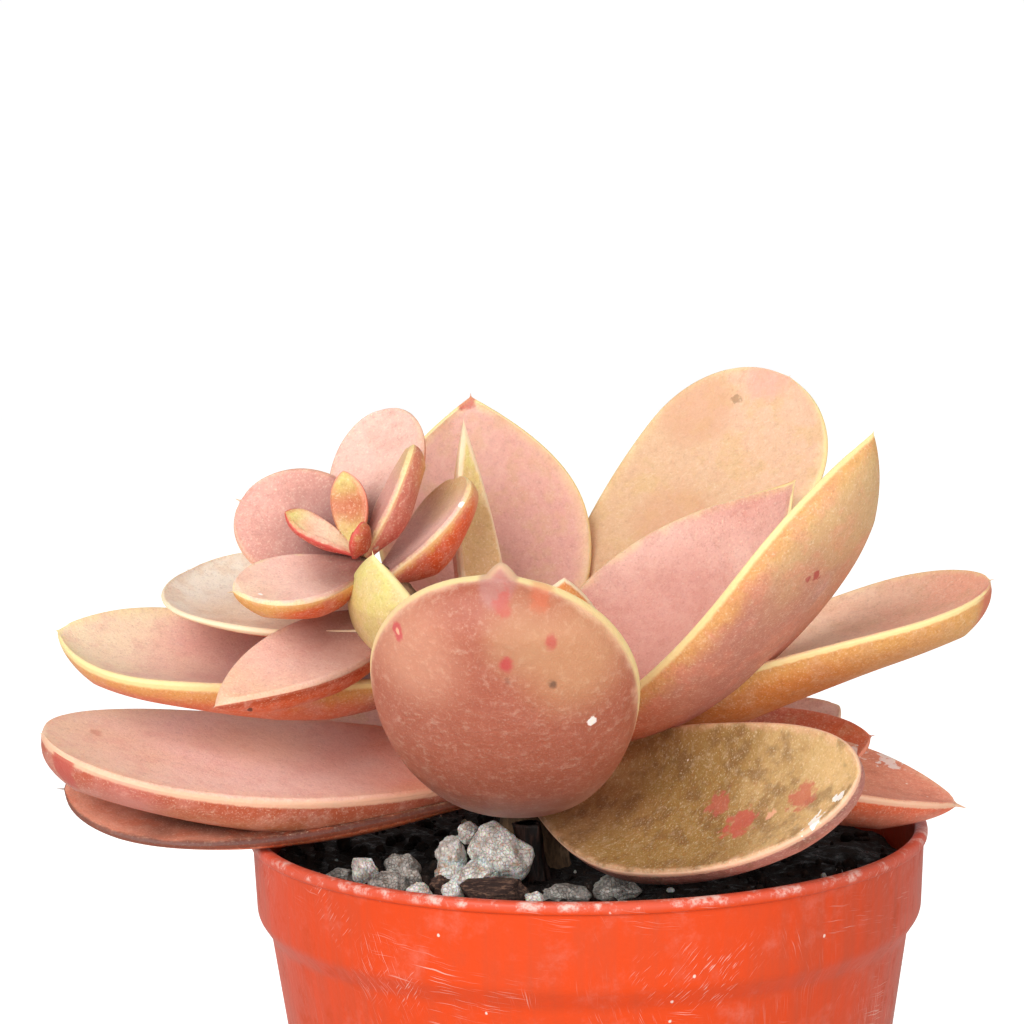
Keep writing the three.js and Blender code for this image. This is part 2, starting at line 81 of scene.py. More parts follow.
def skin(name, shells, around=1.0, along=None):
    """A closed mesh made of one or more shells, each an array of ring, column and XYZ. Neighbouring
    rings are joined by quads, and the first and last are closed by a fan to their middle. The UV map
    holds the share of the way round times `around`, and the value of `along` at each ring."""
    points, faces, uv, offset = [], [], [], 0
    for rings in shells:
        count, columns, _ = rings.shape
        levels = np.linspace(0, 1, count) if along is None else np.asarray(along, float)
        corners = np.concatenate([rings.reshape(-1, 3), rings[:1].mean(1), rings[-1:].mean(1)])
        ring, start = np.meshgrid(np.arange(count - 1), np.arange(columns), indexing="ij")
        end = (start + 1) % columns
        near, far = ring * columns, (ring + 1) * columns
        quads = np.stack([near + start, near + end, far + end, far + start], -1).reshape(-1, 4)
        quad_uv = [start, start + 1, start + 1, start, ring, ring, ring + 1, ring + 1]
        quad_uv = np.stack(quad_uv, -1).reshape(-1, 8)
        first, second = start[0], end[0]
        last, pole = (count - 1) * columns, count * columns
        fans = np.concatenate(
            [
                np.stack([second, first, np.full(columns, pole)], -1),
                np.stack([last + first, last + second, np.full(columns, pole + 1)], -1),
            ]
        )
        foot = np.zeros_like(first)
        head = foot + count - 1
        fan_uv = np.concatenate(
            [
                np.stack([first + 1, first, first, foot, foot, foot], -1),
                np.stack([first, first + 1, first, head, head, head], -1),
            ]
        )
        a, b, c, d = (corners[quads[:, k]] for k in range(4))
        volume = (a * np.cross(b, c)).sum() + (a * np.cross(c, d)).sum()
        step = 1 if volume > 0 else -1
        for group, places in ((quads, quad_uv), (fans, fan_uv)):
            size = group.shape[1]
            faces += (group[:, ::step] + offset).tolist()
            share = places[:, :size][:, ::step].ravel() / columns * around
            uv.append(np.stack([share, levels[places[:, size:][:, ::step].ravel()]], -1))
        points.append(corners)
        offset += len(corners)
    mesh = bpy.data.meshes.new(name)
    mesh.from_pydata(np.concatenate(points).tolist(), [], faces)
    mesh.uv_layers.new(name="UVMap").data.foreach_set("uv", np.concatenate(uv).ravel())
    mesh.polygons.foreach_set("use_smooth", np.ones(len(faces), bool))
    mesh.update()
    piece = bpy.data.objects.new(name, mesh)
    bpy.context.scene.collection.objects.link(piece)
    return piece


def rounded(corners, radius, steps=5):
    """The outline with each inner corner replaced by a quadratic curve that starts and ends `radius`
    from it, or half way along a shorter side."""
    corners = np.array(corners, float)
    line = [corners[:1]]
    for before, corner, after in zip(corners[:-2], corners[1:-1], corners[2:]):
        back, ahead = before - corner, after - corner
        start = corner + back * min(radius / np.linalg.norm(back), 0.45)
        finish = corner + ahead * min(radius / np.linalg.norm(ahead), 0.45)
        share = np.linspace(0, 1, steps)[:, None]
        line.append((1 - share) ** 2 * start + 2 * share * (1 - share) * corner + share**2 * finish)
    line.append(corners[-1:])
    return np.concatenate(line)


def turned(profile, columns):
    """Rings of a surface of revolution: each profile point (radius, height) carried round Z from the
    back of the pot, where the seam of its UV map hides."""
    angle = math.pi / 2 + 2 * math.pi * np.arange(columns) / columns
    radius, height = profile[:, 0, None], profile[:, 1, None]
    return np.stack([radius * np.cos(angle), radius * np.sin(angle), height + 0 * angle], axis=-1)


def subdivided(profile, longest):
    """The outline with points added so that no side is longer than `longest`."""
    line = [profile[:1]]
    for start, finish in zip(profile[:-1], profile[1:]):
        pieces = max(1, math.ceil(np.linalg.norm(finish - start) / longest))
        share = np.linspace(0, 1, pieces + 1)[1:, None]
        line.append(start + share * (finish - start))
    return np.concatenate(line)


lip_foot = RIM_RADIUS - LIP_PROUD
collar_foot = lip_foot - COLLAR_LEAN
step_radius = collar_foot - COLLAR_STEP
collar_bottom = POT_HEIGHT - COLLAR_HEIGHT
step_bottom = collar_bottom - STEP_HEIGHT
lip_bottom = POT_HEIGHT - LIP_HEIGHT
pot_outline = rounded(
    [
        (POLE_RADIUS, 0),
        (FOOT_RADIUS, 0),
        (step_radius, step_bottom),
        (collar_foot + 0.05 * MM, collar_bottom),
        (lip_foot - 0.05 * MM, lip_bottom - 0.12 * MM),
        (lip_foot - 0.02 * MM, lip_bottom),
        (RIM_RADIUS, lip_bottom + 0.08 * MM),
        (RIM_RADIUS, POT_HEIGHT),
        (lip_foot - POT_WALL, POT_HEIGHT),
        (collar_foot - POT_WALL, collar_bottom),
        (step_radius - POT_WALL, step_bottom),
        (FOOT_RADIUS - POT_WALL, POT_WALL),
        (POLE_RADIUS, POT_WALL),
    ],
    CORNER_REACH,
)
pot_profile = subdivided(pot_outline, PROFILE_STEP)
rim_length = 2 * math.pi * RIM_RADIUS / MM
pot = skin("nursery_pot", [turned(pot_profile, POT_AROUND)], rim_length, pot_profile[:, 1] / MM)

drill_profile = np.array(
    [(DRILL_POLE, DRILL_LOW), (DRAIN_RADIUS, DRILL_LOW), (DRAIN_RADIUS, DRILL_HIGH), (DRILL_POLE, DRILL_HIGH)]
)
for hole in range(DRAIN_HOLES):
    turn = 2 * math.pi * (hole + 0.5) / DRAIN_HOLES
    centre = np.array([DRAIN_CIRCLE * math.cos(turn), DRAIN_CIRCLE * math.sin(turn), 0])
    drill = skin("drill", [turned(drill_profile, DRILL_AROUND) + centre])
    cut = pot.modifiers.new("drain_hole", "BOOLEAN")
    cut.operation = "DIFFERENCE"
    cut.object = drill
    bpy.context.view_layer.update()
    drilled = bpy.data.meshes.new_from_object(pot.evaluated_get(bpy.context.evaluated_depsgraph_get()))
    pot.modifiers.clear()
    pot.data = drilled
    bpy.data.objects.remove(drill)


def paint(code, strength=1.0):
    """A colour written as #rrggbb, as the linear RGBA that a socket takes, made darker by strength."""
    share = np.array([int(code[i : i + 2], 16) for i in (1, 3, 5)]) / 255
    linear = np.where(share <= 0.04045, share / 12.92, ((share + 0.055) / 1.055) ** 2.4)
    return (*(linear * strength), 1.0)


def add(tree, kind, inputs=None, **settings):
    """A node with its settings, and each of its inputs set to a value or joined to another's socket."""
    node = tree.nodes.new(kind)
    for name, value in settings.items():
        setattr(node, name, value)
    for key, value in (inputs or {}).items():
        if isinstance(value, bpy.types.NodeSocket):
            tree.links.new(value, node.inputs[key])
        else:
            node.inputs[key].default_value = value
    return node


def maths(tree, operation, *values):
    """The result of one Math node on one to three values or sockets."""
    return add(tree, "ShaderNodeMath", dict(enumerate(values)), operation=operation).outputs[0]


def vector_maths(tree, operation, *values):
    """The result of one Vector Math node on two or three vectors or sockets."""
    return add(tree, "ShaderNodeVectorMath", dict(enumerate(values)), operation=operation).outputs[0]


def between(tree, value, low, high):
    """0 where the value is at or past low, 1 at or past high, and an S-curve from one to the other."""
    inputs = {"Value": value, "From Min": low, "From Max": high}
    return add(tree, "ShaderNodeMapRange", inputs, interpolation_type="SMOOTHSTEP").outputs[0]


def mixed(tree, share, first, second):
    """The first colour where the share is 0 and the second where it is 1."""
    return add(tree, "ShaderNodeMix", {0: share, 6: first, 7: second}, data_type="RGBA").outputs[2]


def tinted(tree, colour, mask, code, strength):
    """The colour turned towards the one written as #rrggbb, by the mask times a strength."""
    return mixed(tree, maths(tree, "MULTIPLY", mask, strength), colour, paint(code))


def noise(tree, where, size, detail=2.0, roughness=0.5):
    """Cloudy values from 0 to 1 whose lumps are about `size` across, in the units of `where`."""
    inputs = {"Vector": where, "Scale": 1 / size, "Detail": detail, "Roughness": roughness}
    return add(tree, "ShaderNodeTexNoise", inputs).outputs[0]


def stretched(tree, where, scale, turn=0.0, shift=(0, 0, 0)):
    """The coordinates moved, turned round Z and then scaled."""
    inputs = {"Vector": where, "Location": shift, "Rotation": (0, 0, turn), "Scale": scale}
    return add(tree, "ShaderNodeMapping", inputs).outputs[0]


def new_group(name, inputs, outputs):
    """An empty shader group with named inputs and outputs, given as name: (socket kind, default)."""
    group = bpy.data.node_groups.new(name, "ShaderNodeTree")
    for label, (kind, default) in inputs.items():
        socket = group.interface.new_socket(label, in_out="INPUT", socket_type="NodeSocket" + kind)
        if default is not None:
            socket.default_value = default
    for label, kind in outputs.items():
        group.interface.new_socket(label, in_out="OUTPUT", socket_type="NodeSocket" + kind)
    entry = group.nodes.new("NodeGroupInput")
    leave = group.nodes.new("NodeGroupOutput")
    return group, entry.outputs, leave.inputs


def place(tree, group, inputs):
    """The outputs of a shader group put into a material with its own values."""
    return add(tree, "ShaderNodeGroup", inputs, node_tree=group).outputs


def new_material(name, **constants):
    """A material whose Principled shader has its constants set, with its tree and that shader."""
    material = bpy.data.materials.new(name)
    material.use_nodes = True
    shader = material.node_tree.nodes["Principled BSDF"]
    for label, value in constants.items():
        shader.inputs[label.replace("_", " ")].default_value = value
    return material, material.node_tree, shader


def bump(tree, shader, height, depth):
    """Joins a height from 0 to 1 to the shader's normal, as relief of the given depth in metres."""
    inputs = {"Height": height, "Distance": depth, "Strength": 1.0}
    tree.links.new(add(tree, "ShaderNodeBump", inputs).outputs[0], shader.inputs["Normal"])


def scratch_group():
    """Fine rubbed lines: noise drawn out along one direction, kept only where a wider cloud allows."""
    inputs = {
        "Where": ("Vector", None),
        "Turn": ("Float", 0.0),
        "Length": ("Float", 4.0),
        "Width": ("Float", 0.12),
        "Shift": ("Float", 0.0),
        "Patch": ("Float", 8.0),
        "Amount": ("Float", 0.5),
    }
    group, given, result = new_group("scratches", inputs, {"Mask": "Float"})
    shift = vector_maths(group, "ADD", given["Where"], given["Shift"])
    turn = {"Vector": shift, "Angle": given["Turn"]}
    along = add(group, "ShaderNodeVectorRotate", turn, rotation_type="Z_AXIS").outputs[0]
    wobble = add(group, "ShaderNodeTexNoise", {"Vector": shift, "Scale": 0.5, "Detail": 1.0}).outputs[1]
    bent = vector_maths(group, "MULTIPLY_ADD", wobble, SCRATCH_WOBBLE, along)
    size = add(group, "ShaderNodeCombineXYZ", {0: given["Length"], 1: given["Width"], 2: 1.0}).outputs[0]
    lines = noise(group, vector_maths(group, "DIVIDE", bent, size), 1.0, 1.0)
    clouds = {"Vector": shift, "Scale": maths(group, "DIVIDE", 1.0, given["Patch"]), "Detail": 2.0}
    patches = add(group, "ShaderNodeTexNoise", clouds).outputs[0]
    allowed = between(group, maths(group, "ADD", patches, given["Amount"]), 0.95, 1.12)
    mask = maths(group, "MULTIPLY", between(group, lines, 0.62, 0.72), allowed)
    group.links.new(mask, result["Mask"])
    return group


def speck_group():
    """Scattered specks: the dots round the points of a Voronoi pattern, kept where a cell's own random
    colour is over a limit, so that few or many cells have one."""
    inputs = {"Where": ("Vector", None)}
    inputs |= {"Size": ("Float", 0.2), "Spacing": ("Float", 2.0), "Rarity": ("Float", 0.7)}
    group, given, result = new_group("specks", inputs, {"Mask": "Float"})
    scale = maths(group, "DIVIDE", 1.0, given["Spacing"])
    cells = add(group, "ShaderNodeTexVoronoi", {"Vector": given["Where"], "Scale": scale})
    away = maths(group, "MULTIPLY", cells.outputs["Distance"], given["Spacing"])
    ragged = noise(group, given["Where"], 0.25, 2.0)
    edge = maths(group, "MULTIPLY", given["Size"], maths(group, "ADD", ragged, 0.5))
    inside = between(group, maths(group, "SUBTRACT", edge, away), 0.0, 0.08)
    chance = add(group, "ShaderNodeSeparateColor", {0: cells.outputs["Color"]}).outputs[0]
    mask = maths(group, "MULTIPLY", inside, maths(group, "GREATER_THAN", chance, given["Rarity"]))
    group.links.new(mask, result["Mask"])
    return group


SCRATCHES = scratch_group()
SPECKS = speck_group()


def specks(tree, where, size, spacing, rarity):
    """The specks group with its values, which are in the units of `where`, as a mask."""
    values = {"Where": where, "Size": size, "Spacing": spacing, "Rarity": rarity}
    return place(tree, SPECKS, values)["Mask"]


def terracotta_plastic():
    """Moulded plastic: orange with duller, browner clouds, white scuffs, chalky specks, patches rubbed
    white on the lip and a few brown crumbs of the mix, with painted shade that turns it darker and
    browner towards the right side and a painted highlight paler all round the top of the lip."""
    constants = {"Coat_Weight": 0.06, "Coat_Roughness": 0.25, "Specular_IOR_Level": 0.2}
    material, tree, shader = new_material("terracotta_plastic", **constants)
    wall = add(tree, "ShaderNodeUVMap", uv_map="UVMap").outputs[0]
    where = add(tree, "ShaderNodeTexCoord").outputs["Object"]
    x, y, z = add(tree, "ShaderNodeSeparateXYZ", {0: where}).outputs
    clouds = noise(tree, where, 14 * MM, 3.0, 0.6)
    streaks = noise(tree, stretched(tree, wall, (1.1, 0.06, 1)), 1.0, 3.0)
    wear_and_shade = maths(tree, "ADD", maths(tree, "MULTIPLY", clouds, 0.7), maths(tree, "MULTIPLY", streaks, 0.45))
    # Painted shade: the wall turns darker and browner towards the right side, away from the key light.
    right = between(tree, x, 4 * MM, 30 * MM)
    wear_and_shade = between(tree, maths(tree, "ADD", wear_and_shade, maths(tree, "MULTIPLY", right, 0.25)), 0.45, 1.0)
    colour = mixed(tree, wear_and_shade, paint(TERRACOTTA), paint(TERRACOTTA_WORN_AND_SHADE))
    grime = between(tree, noise(tree, where, 3 * MM, 5.0, 0.7), 0.5, 0.8)
    colour = tinted(tree, colour, grime, TERRACOTTA_WORN_AND_SHADE, 0.3)
    scuffs = 0.0
    for turn, shift, length, width in SCUFFS:
        values = {"Where": wall, "Turn": turn, "Shift": shift, "Length": length, "Width": width}
        layer = place(tree, SCRATCHES, values | {"Amount": 0.42})["Mask"]
        scuffs = maths(tree, "MAXIMUM", scuffs, layer)
    haze = between(tree, noise(tree, wall, 5.0, 6.0, 0.72), 0.5, 0.78)
    white = maths(tree, "MAXIMUM", maths(tree, "MULTIPLY", scuffs, 0.55), maths(tree, "MULTIPLY", haze, 0.12))
    for layer in CHALK_SPECKS:
        white = maths(tree, "MAXIMUM", white, maths(tree, "MULTIPLY", specks(tree, wall, *layer), 0.85))
    colour = mixed(tree, white, colour, paint(SCUFF_WHITE))
    crumbs = specks(tree, stretched(tree, wall, (1, 1, 1), 0.7), 0.17, 3.1, 0.85)
    colour = tinted(tree, colour, crumbs, CRUMB_BROWN, 0.8)
    lip = between(tree, z, POT_HEIGHT - 0.75 * MM, POT_HEIGHT - 0.35 * MM)
    rub = between(tree, noise(tree, where, 2.2 * MM, 5.0, 0.75), 0.48, 0.66)
    # Painted highlight: the top of the lip is paler all round; the white patches laid over it next are wear.
    colour = tinted(tree, colour, lip, TERRACOTTA_LIP_HIGHLIGHT, 0.55)
    colour = tinted(tree, colour, lip, SCUFF_WHITE, maths(tree, "MULTIPLY", rub, 0.7))
    tree.links.new(colour, shader.inputs["Base Color"])
    gloss = maths(tree, "ADD", 0.36, maths(tree, "MULTIPLY", maths(tree, "MAXIMUM", white, grime), 0.35))
    tree.links.new(gloss, shader.inputs["Roughness"])
    relief = maths(tree, "ADD", noise(tree, where, 0.5 * MM, 3.0), maths(tree, "MULTIPLY", white, 0.6))
    bump(tree, shader, relief, 0.03 * MM)
    return material


def settle(piece, material, slot, *nodes):
    """Gives the piece its material and lets it ride on the part in place of the CAD nodes. The slot is not
    used.
    """
    piece.data.materials.clear()
    piece.data.materials.append(material)
    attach(piece, "root")
    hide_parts(*nodes)


settle(pot, terracotta_plastic(), "terracotta_plastic", "pot")

# Potting mix
# A plug of dark peat and bark fines that fills the pot to just under the lip. Its top is lumpy and
# strewn with loose crumbs and a few white grit grains, and it lies against the wall all round.
SOIL_TOP = 46.6 * MM
SOIL_GAP = 0.25 * MM
SOIL_AROUND = 180
# Clouds of the top: height and width in millimetres, and seed
SOIL_HUMPS = (0.45, 6.0, 11), (0.3, 2.2, 12), (0.16, 0.7, 13)
CRUMB_COUNT = 420
GRIT_COUNT = 46
PEAT_BLACK = "#17110e"
PEAT_BROWN = "#3d2c24"
PEAT_GREY = "#6f6862"


def cloud(points, size, seed):
    """Smooth random values from -1 to 1: a repeating 16 x 16 x 16 lattice of seeded values, whose
    cells are `size` across, blended between its corners by S-curves."""
    lattice = np.random.default_rng(seed).uniform(-1, 1, (16, 16, 16))
    cell = np.asarray(points) / size
    low = np.floor(cell).astype(int)
    share = cell - low
    share = share * share * (3 - 2 * share)
    value = np.zeros(cell.shape[:-1])
    for corner in np.ndindex(2, 2, 2):
        index = (low + corner) % 16
        weight = np.where(corner, share, 1 - share).prod(-1)
        value += weight * lattice[index[..., 0], index[..., 1], index[..., 2]]
    return value


def soil_top(x, y):
    """Height of the mix: its level plus broad humps, lumps and fine crumbs from three clouds."""
    spot = np.stack([x, y, 0 * x], -1)
    humps = sum(height * cloud(spot, width * MM, seed) for height, width, seed in SOIL_HUMPS)
    return SOIL_TOP + humps * MM


soil_foot = FOOT_RADIUS - POT_WALL - SOIL_GAP
soil_step = step_radius - POT_WALL - SOIL_GAP
soil_rim = collar_foot - POT_WALL - SOIL_GAP
soil_side = [
    (POLE_RADIUS, POT_WALL + SOIL_GAP),
    (soil_foot, POT_WALL + SOIL_GAP),
    (soil_step, step_bottom),
    (soil_rim, collar_bottom + 0.3 * MM),
    (soil_rim, SOIL_TOP - 1.2 * MM),
]
soil_lid = [(soil_rim * share, SOIL_TOP) for share in np.linspace(1, 0.003, 60)]
soil_rings = turned(np.array(soil_side + soil_lid), SOIL_AROUND)
lid = soil_rings[len(soil_side) :]
lid[..., 2] = soil_top(lid[..., 0], lid[..., 1])
soil = skin("potting_mix", [soil_rings])


def pebble(centre, radii, seed, rows=7, columns=9, planes=12, rough=0.05, fine=0.0):
    """Rings of a broken grain. In each direction its radius is the least distance to a set of seeded
    planes around it, so flat sides meet in edges, and a cloud roughens it."""
    rng = np.random.default_rng(seed)
    sides = rng.normal(size=(planes, 3))
    sides /= np.linalg.norm(sides, axis=1, keepdims=True)
    reach = rng.uniform(0.74, 1.0, planes)
    lean = np.linspace(0.06, math.pi - 0.06, rows)[:, None]
    turn = 2 * math.pi * np.arange(columns)[None] / columns
    out = np.stack([np.sin(lean) * np.cos(turn), np.sin(lean) * np.sin(turn), np.cos(lean) + 0 * turn], -1)
    radius = np.minimum((reach / np.clip(out @ sides.T, 0.05, None)).min(-1), 1.15)
    radius = radius * (1 + rough * cloud(out, 0.5, seed) + fine * cloud(out, 0.16, seed + 1))
    return centre + out * radius[..., None] * radii


def strewn(count, smallest, largest, seed):
    """Grains dropped on the mix: seeded places spread evenly over its disc, each half sunk in it."""
    rng = np.random.default_rng(seed)
    away = (soil_rim - 1.2 * MM) * np.sqrt(rng.uniform(0, 1, count))
    turn = rng.uniform(0, 2 * math.pi, count)
    x, y = away * np.cos(turn), away * np.sin(turn)
    z = soil_top(x, y)
    size = smallest + (largest - smallest) * rng.uniform(0, 1, count) ** 2.5
    flat = rng.uniform(0.55, 1.0, (count, 3))
    middle = np.stack([x, y, z + 0.25 * size], -1)
    return [pebble(middle[k], size[k] * flat[k], seed + k) for k in range(count)]


crumbs = skin("mix_crumbs", strewn(CRUMB_COUNT, 0.25 * MM, 1.0 * MM, 100))
grit = skin("grit_grains", strewn(GRIT_COUNT, 0.18 * MM, 0.42 * MM, 700))


def millimetres(tree):
    """Object coordinates in millimetres."""
    where = add(tree, "ShaderNodeTexCoord").outputs["Object"]
    return add(tree, "ShaderNodeVectorMath", {0: where, "Scale": 1000.0}, operation="SCALE").outputs[0]


def peat():
    """Damp peat: almost black, with brown fibres, grey dust in patches and a little gloss."""
    material, tree, shader = new_material("potting_mix", Specular_IOR_Level=0.35)
    where = millimetres(tree)
    lumps = noise(tree, where, 1.1, 4.0, 0.65)
    colour = mixed(tree, between(tree, lumps, 0.42, 0.7), paint(PEAT_BLACK), paint(PEAT_BROWN))
    dust = between(tree, noise(tree, where, 0.35, 3.0, 0.7), 0.56, 0.74)
    colour = tinted(tree, colour, dust, PEAT_GREY, 0.5)
    tree.links.new(colour, shader.inputs["Base Color"])
    tree.links.new(between(tree, lumps, 0.2, 0.6), shader.inputs["Roughness"])
    bump(tree, shader, noise(tree, where, 0.3, 4.0, 0.7), 0.25 * MM)
    return material


def broken_stone(name, pale, dark, stain, share, clear):
    """Volcanic stone: a pale crystalline body with darker clouds painted as the shade of its hollows, stained
    specks and fine pores.
    """
    material, tree, shader = new_material(name, Subsurface_Weight=clear, Subsurface_Scale=0.0012)
    where = millimetres(tree)
    cells = {"Vector": where, "Scale": 3.2}
    pores = add(tree, "ShaderNodeTexVoronoi", cells, feature="DISTANCE_TO_EDGE").outputs[0]
    grains = noise(tree, where, 0.45, 4.0, 0.7)
    # Painted shade: darker clouds stand for the shade in the stone's hollows.
    hollow = between(tree, noise(tree, where, 1.1, 3.0, 0.6), 0.62, 0.34)
    colour = tinted(tree, paint(pale), hollow, dark, 0.8)
    stained = between(tree, noise(tree, where, 0.8, 2.0), 0.72 - share, 0.8 - share)
    colour = tinted(tree, colour, stained, stain, 0.6)
    colour = tinted(tree, colour, specks(tree, where, 0.09, 0.6, 0.6), PEAT_BLACK, 0.85)
    tree.links.new(colour, shader.inputs["Base Color"])
    tree.links.new(maths(tree, "ADD", 0.35, maths(tree, "MULTIPLY", grains, 0.6)), shader.inputs["Roughness"])
    relief = maths(tree, "ADD", maths(tree, "MULTIPLY", grains, 0.8), between(tree, pores, 0.0, 0.12))
    bump(tree, shader, relief, 0.12 * MM)
    return material


PEAT = peat()
PALE_STONE = broken_stone("pale_pumice", "#f4eee6", "#a39a90", "#c79a78", 0.12, 0.35)
settle(soil, PEAT, "potting_mix", "soil")
settle(crumbs, PEAT, "potting_mix", "soil")
settle(grit, PALE_STONE, "pale_pumice", "soil")

# Pumice, grit and bark on the mix
# Broken volcanic stones lie where the pot was top-dressed: a big glassy white one with smaller ones
# round it at the front, grey ones either side, and two chips of bark streaked with paler fibres.
GREY_STONE = broken_stone("grey_pumice", "#b9b3ab", "#5b554f", "#7d6a5a", 0.1, 0.1)
STONE_SKINS = {"pale_pumice": PALE_STONE, "grey_pumice": GREY_STONE}
CLUMP_SEED = 31
STONE_SEED = 61
BARK_SEED = 90
PUMICE_CLUMP = [
    ((-6.9, -10.5, 49.5), (2.25, 1.75, 2.25)),
    ((-10.6, -9.0, 49.2), (1.4, 1.3, 1.4)),
    ((-9.2, -9.1, 51.0), (0.85, 0.8, 0.85)),
    ((-10.6, -10.2, 47.8), (1.4, 1.1, 1.3)),
    ((-8.4, -11.3, 48.0), (1.6, 1.4, 1.6)),
]
LOOSE_STONES = {
    "pumice_white": ((-10.3, -14.8, 47.7), (0.85, 0.8, 0.8), "pale_pumice"),
    "pumice_cream": ((-17.4, -10.2, 48.4), (1.05, 0.9, 1.1), "pale_pumice"),
    "pumice_grey": ((-15.4, -12.9, 47.6), (1.6, 1.3, 1.3), "grey_pumice"),
    "pumice_grey_back": ((-14.5, -8.6, 48.0), (1.3, 1.1, 1.3), "grey_pumice"),
    "stone_dark_left": ((-19.6, -8.4, 47.2), (1.3, 1.0, 0.9), "grey_pumice"),
    "pumice_grey_small": ((-13.6, -11.0, 47.5), (0.9, 0.9, 1.1), "grey_pumice"),
    "pumice_white_small": ((-12.9, -14.6, 47.4), (0.9, 0.8, 0.9), "pale_pumice"),
    "pumice_white_front": ((-3.9, -16.9, 47.5), (0.8, 0.6, 0.7), "pale_pumice"),
    "stone_right": ((-1.6, -13.4, 47.0), (1.8, 1.2, 1.0), "grey_pumice"),
    "stone_right_back": ((2.2, -12.0, 47.2), (1.6, 1.4, 1.1), "grey_pumice"),
}
BARK_CHIPS = {
    "bark_chip": ((-6.9, -14.5, 47.6), (2.4, 1.2, 1.3)),
    "bark_chip_small": ((-11.2, -12.9, 47.4), (0.9, 0.8, 1.2)),
}
BARK_DARK = "#33201a"
BARK_FRAY = "#8d6a55"


def stone(middle, radii, seed):
    """A finely cut pebble of that middle and those radii in millimetres."""
    cut = {"rows": 44, "columns": 64, "planes": 20, "rough": 0.1, "fine": 0.05}
    return pebble(np.array(middle) * MM, np.array(radii) * MM, seed, **cut)


clump = [stone(*lump, seed) for seed, lump in enumerate(PUMICE_CLUMP, CLUMP_SEED)]
settle(skin("pumice_clump_stones", clump), PALE_STONE, "pale_pumice", "pumice_clump")
for seed, (node, (middle, radii, slot)) in enumerate(LOOSE_STONES.items(), STONE_SEED):
    settle(skin(node + "_grain", [stone(middle, radii, seed)]), STONE_SKINS[slot], slot, node)


def bark_skin():
    """Bark: dark brown fibres drawn out along the chip, mixed with paler ones."""
    material, tree, shader = new_material("bark", Roughness=0.85)
    where = millimetres(tree)
    fibres = noise(tree, stretched(tree, where, (0.5, 3.0, 3.0), 0.3), 0.6, 4.0, 0.7)
    colour = mixed(tree, between(tree, fibres, 0.45, 0.75), paint(BARK_DARK), paint(BARK_FRAY))
    tree.links.new(colour, shader.inputs["Base Color"])
    bump(tree, shader, fibres, 0.25 * MM)
    return material


BARK = bark_skin()
for seed, (node, (middle, radii)) in enumerate(BARK_CHIPS.items(), BARK_SEED):
    settle(skin(node + "_piece", [stone(middle, radii, seed)]), BARK, "bark", node)

# Dry leaf
# The dead foot of an old leaf, dried to a thin brown scroll that stands beside the stem. It is a
# curled sheet of papery tissue, open in front, and its lower end shows as a dark ring.
SCROLL_FOOT = (-3.9, -7.0, 45.6)
SCROLL_RADIUS = 1.3
SCROLL_WALL = 0.4
SCROLL_HEIGHT = 5.6
SCROLL_LEAN = -8
SCROLL_STEPS = 40
SCROLL_BROWN = "#4a3128"


def scroll():
    """A strip rolled into most of a ring and drawn upwards along a leaning line. Its section is a
    closed crescent, the outer arc and then the inner one, that widens and ripples on the way up."""
    up = np.linspace(0, 1, SCROLL_STEPS)[:, None]
    arc = np.linspace(0.15 * math.pi, 1.75 * math.pi, SCROLL_STEPS)
    turn = np.concatenate([arc, arc[::-1]])[None]
    outer = np.concatenate([np.ones(SCROLL_STEPS), np.zeros(SCROLL_STEPS)])[None]
    ripple = 0.1 * np.sin(3 * turn + 4 * up) + 0.06 * np.sin(9 * up + turn)
    radius = (SCROLL_RADIUS - SCROLL_WALL * (1 - outer)) * (0.9 + ripple)
    lean = math.sin(math.radians(SCROLL_LEAN))
    x = radius * np.cos(turn) + lean * SCROLL_HEIGHT * up
    z = SCROLL_HEIGHT * up + 0 * turn
    return (np.stack([x, radius * np.sin(turn), z], -1) + np.array(SCROLL_FOOT)) * MM


def papery():
    """Dry leaf tissue: brown, veined lengthways and a little glossy."""
    material, tree, shader = new_material("dry_leaf", Roughness=0.6)
    where = millimetres(tree)
    veins = noise(tree, stretched(tree, where, (3.0, 3.0, 0.4)), 0.8, 3.0)
    colour = mixed(tree, between(tree, veins, 0.4, 0.7), paint(PEAT_BLACK), paint(SCROLL_BROWN))
    tree.links.new(colour, shader.inputs["Base Color"])
    bump(tree, shader, veins, 0.2 * MM)
    return material


settle(skin("dry_leaf_scroll", [scroll()]), papery(), "bark", "dry_leaf")

# Stem
# One short woody stem that stands in the mix and bows left and forward under the rosette. Its skin
# is greyish brown, ringed by the scars of fallen leaves and cracked lengthways.
STEM_LINE = [
    (-4.0, 0.0, 38.0),
    (-4.3, -0.4, 47.0),
    (-4.6, -0.8, 54.0),
    (-6.0, -1.4, 59.5),
    (-9.8, -3.2, 63.5),
    (-14.0, -5.8, 68.0),
    (-17.4, -7.8, 72.4),
]
STEM_FOOT_RADIUS = 3.4
STEM_CROWN_RADIUS = 1.5
STEM_RINGS = 110
STEM_COLUMNS = 64
STEM_SCARS = 16
STEM_BROWN = "#8a6a4c"
STEM_SCAR = "#b99572"


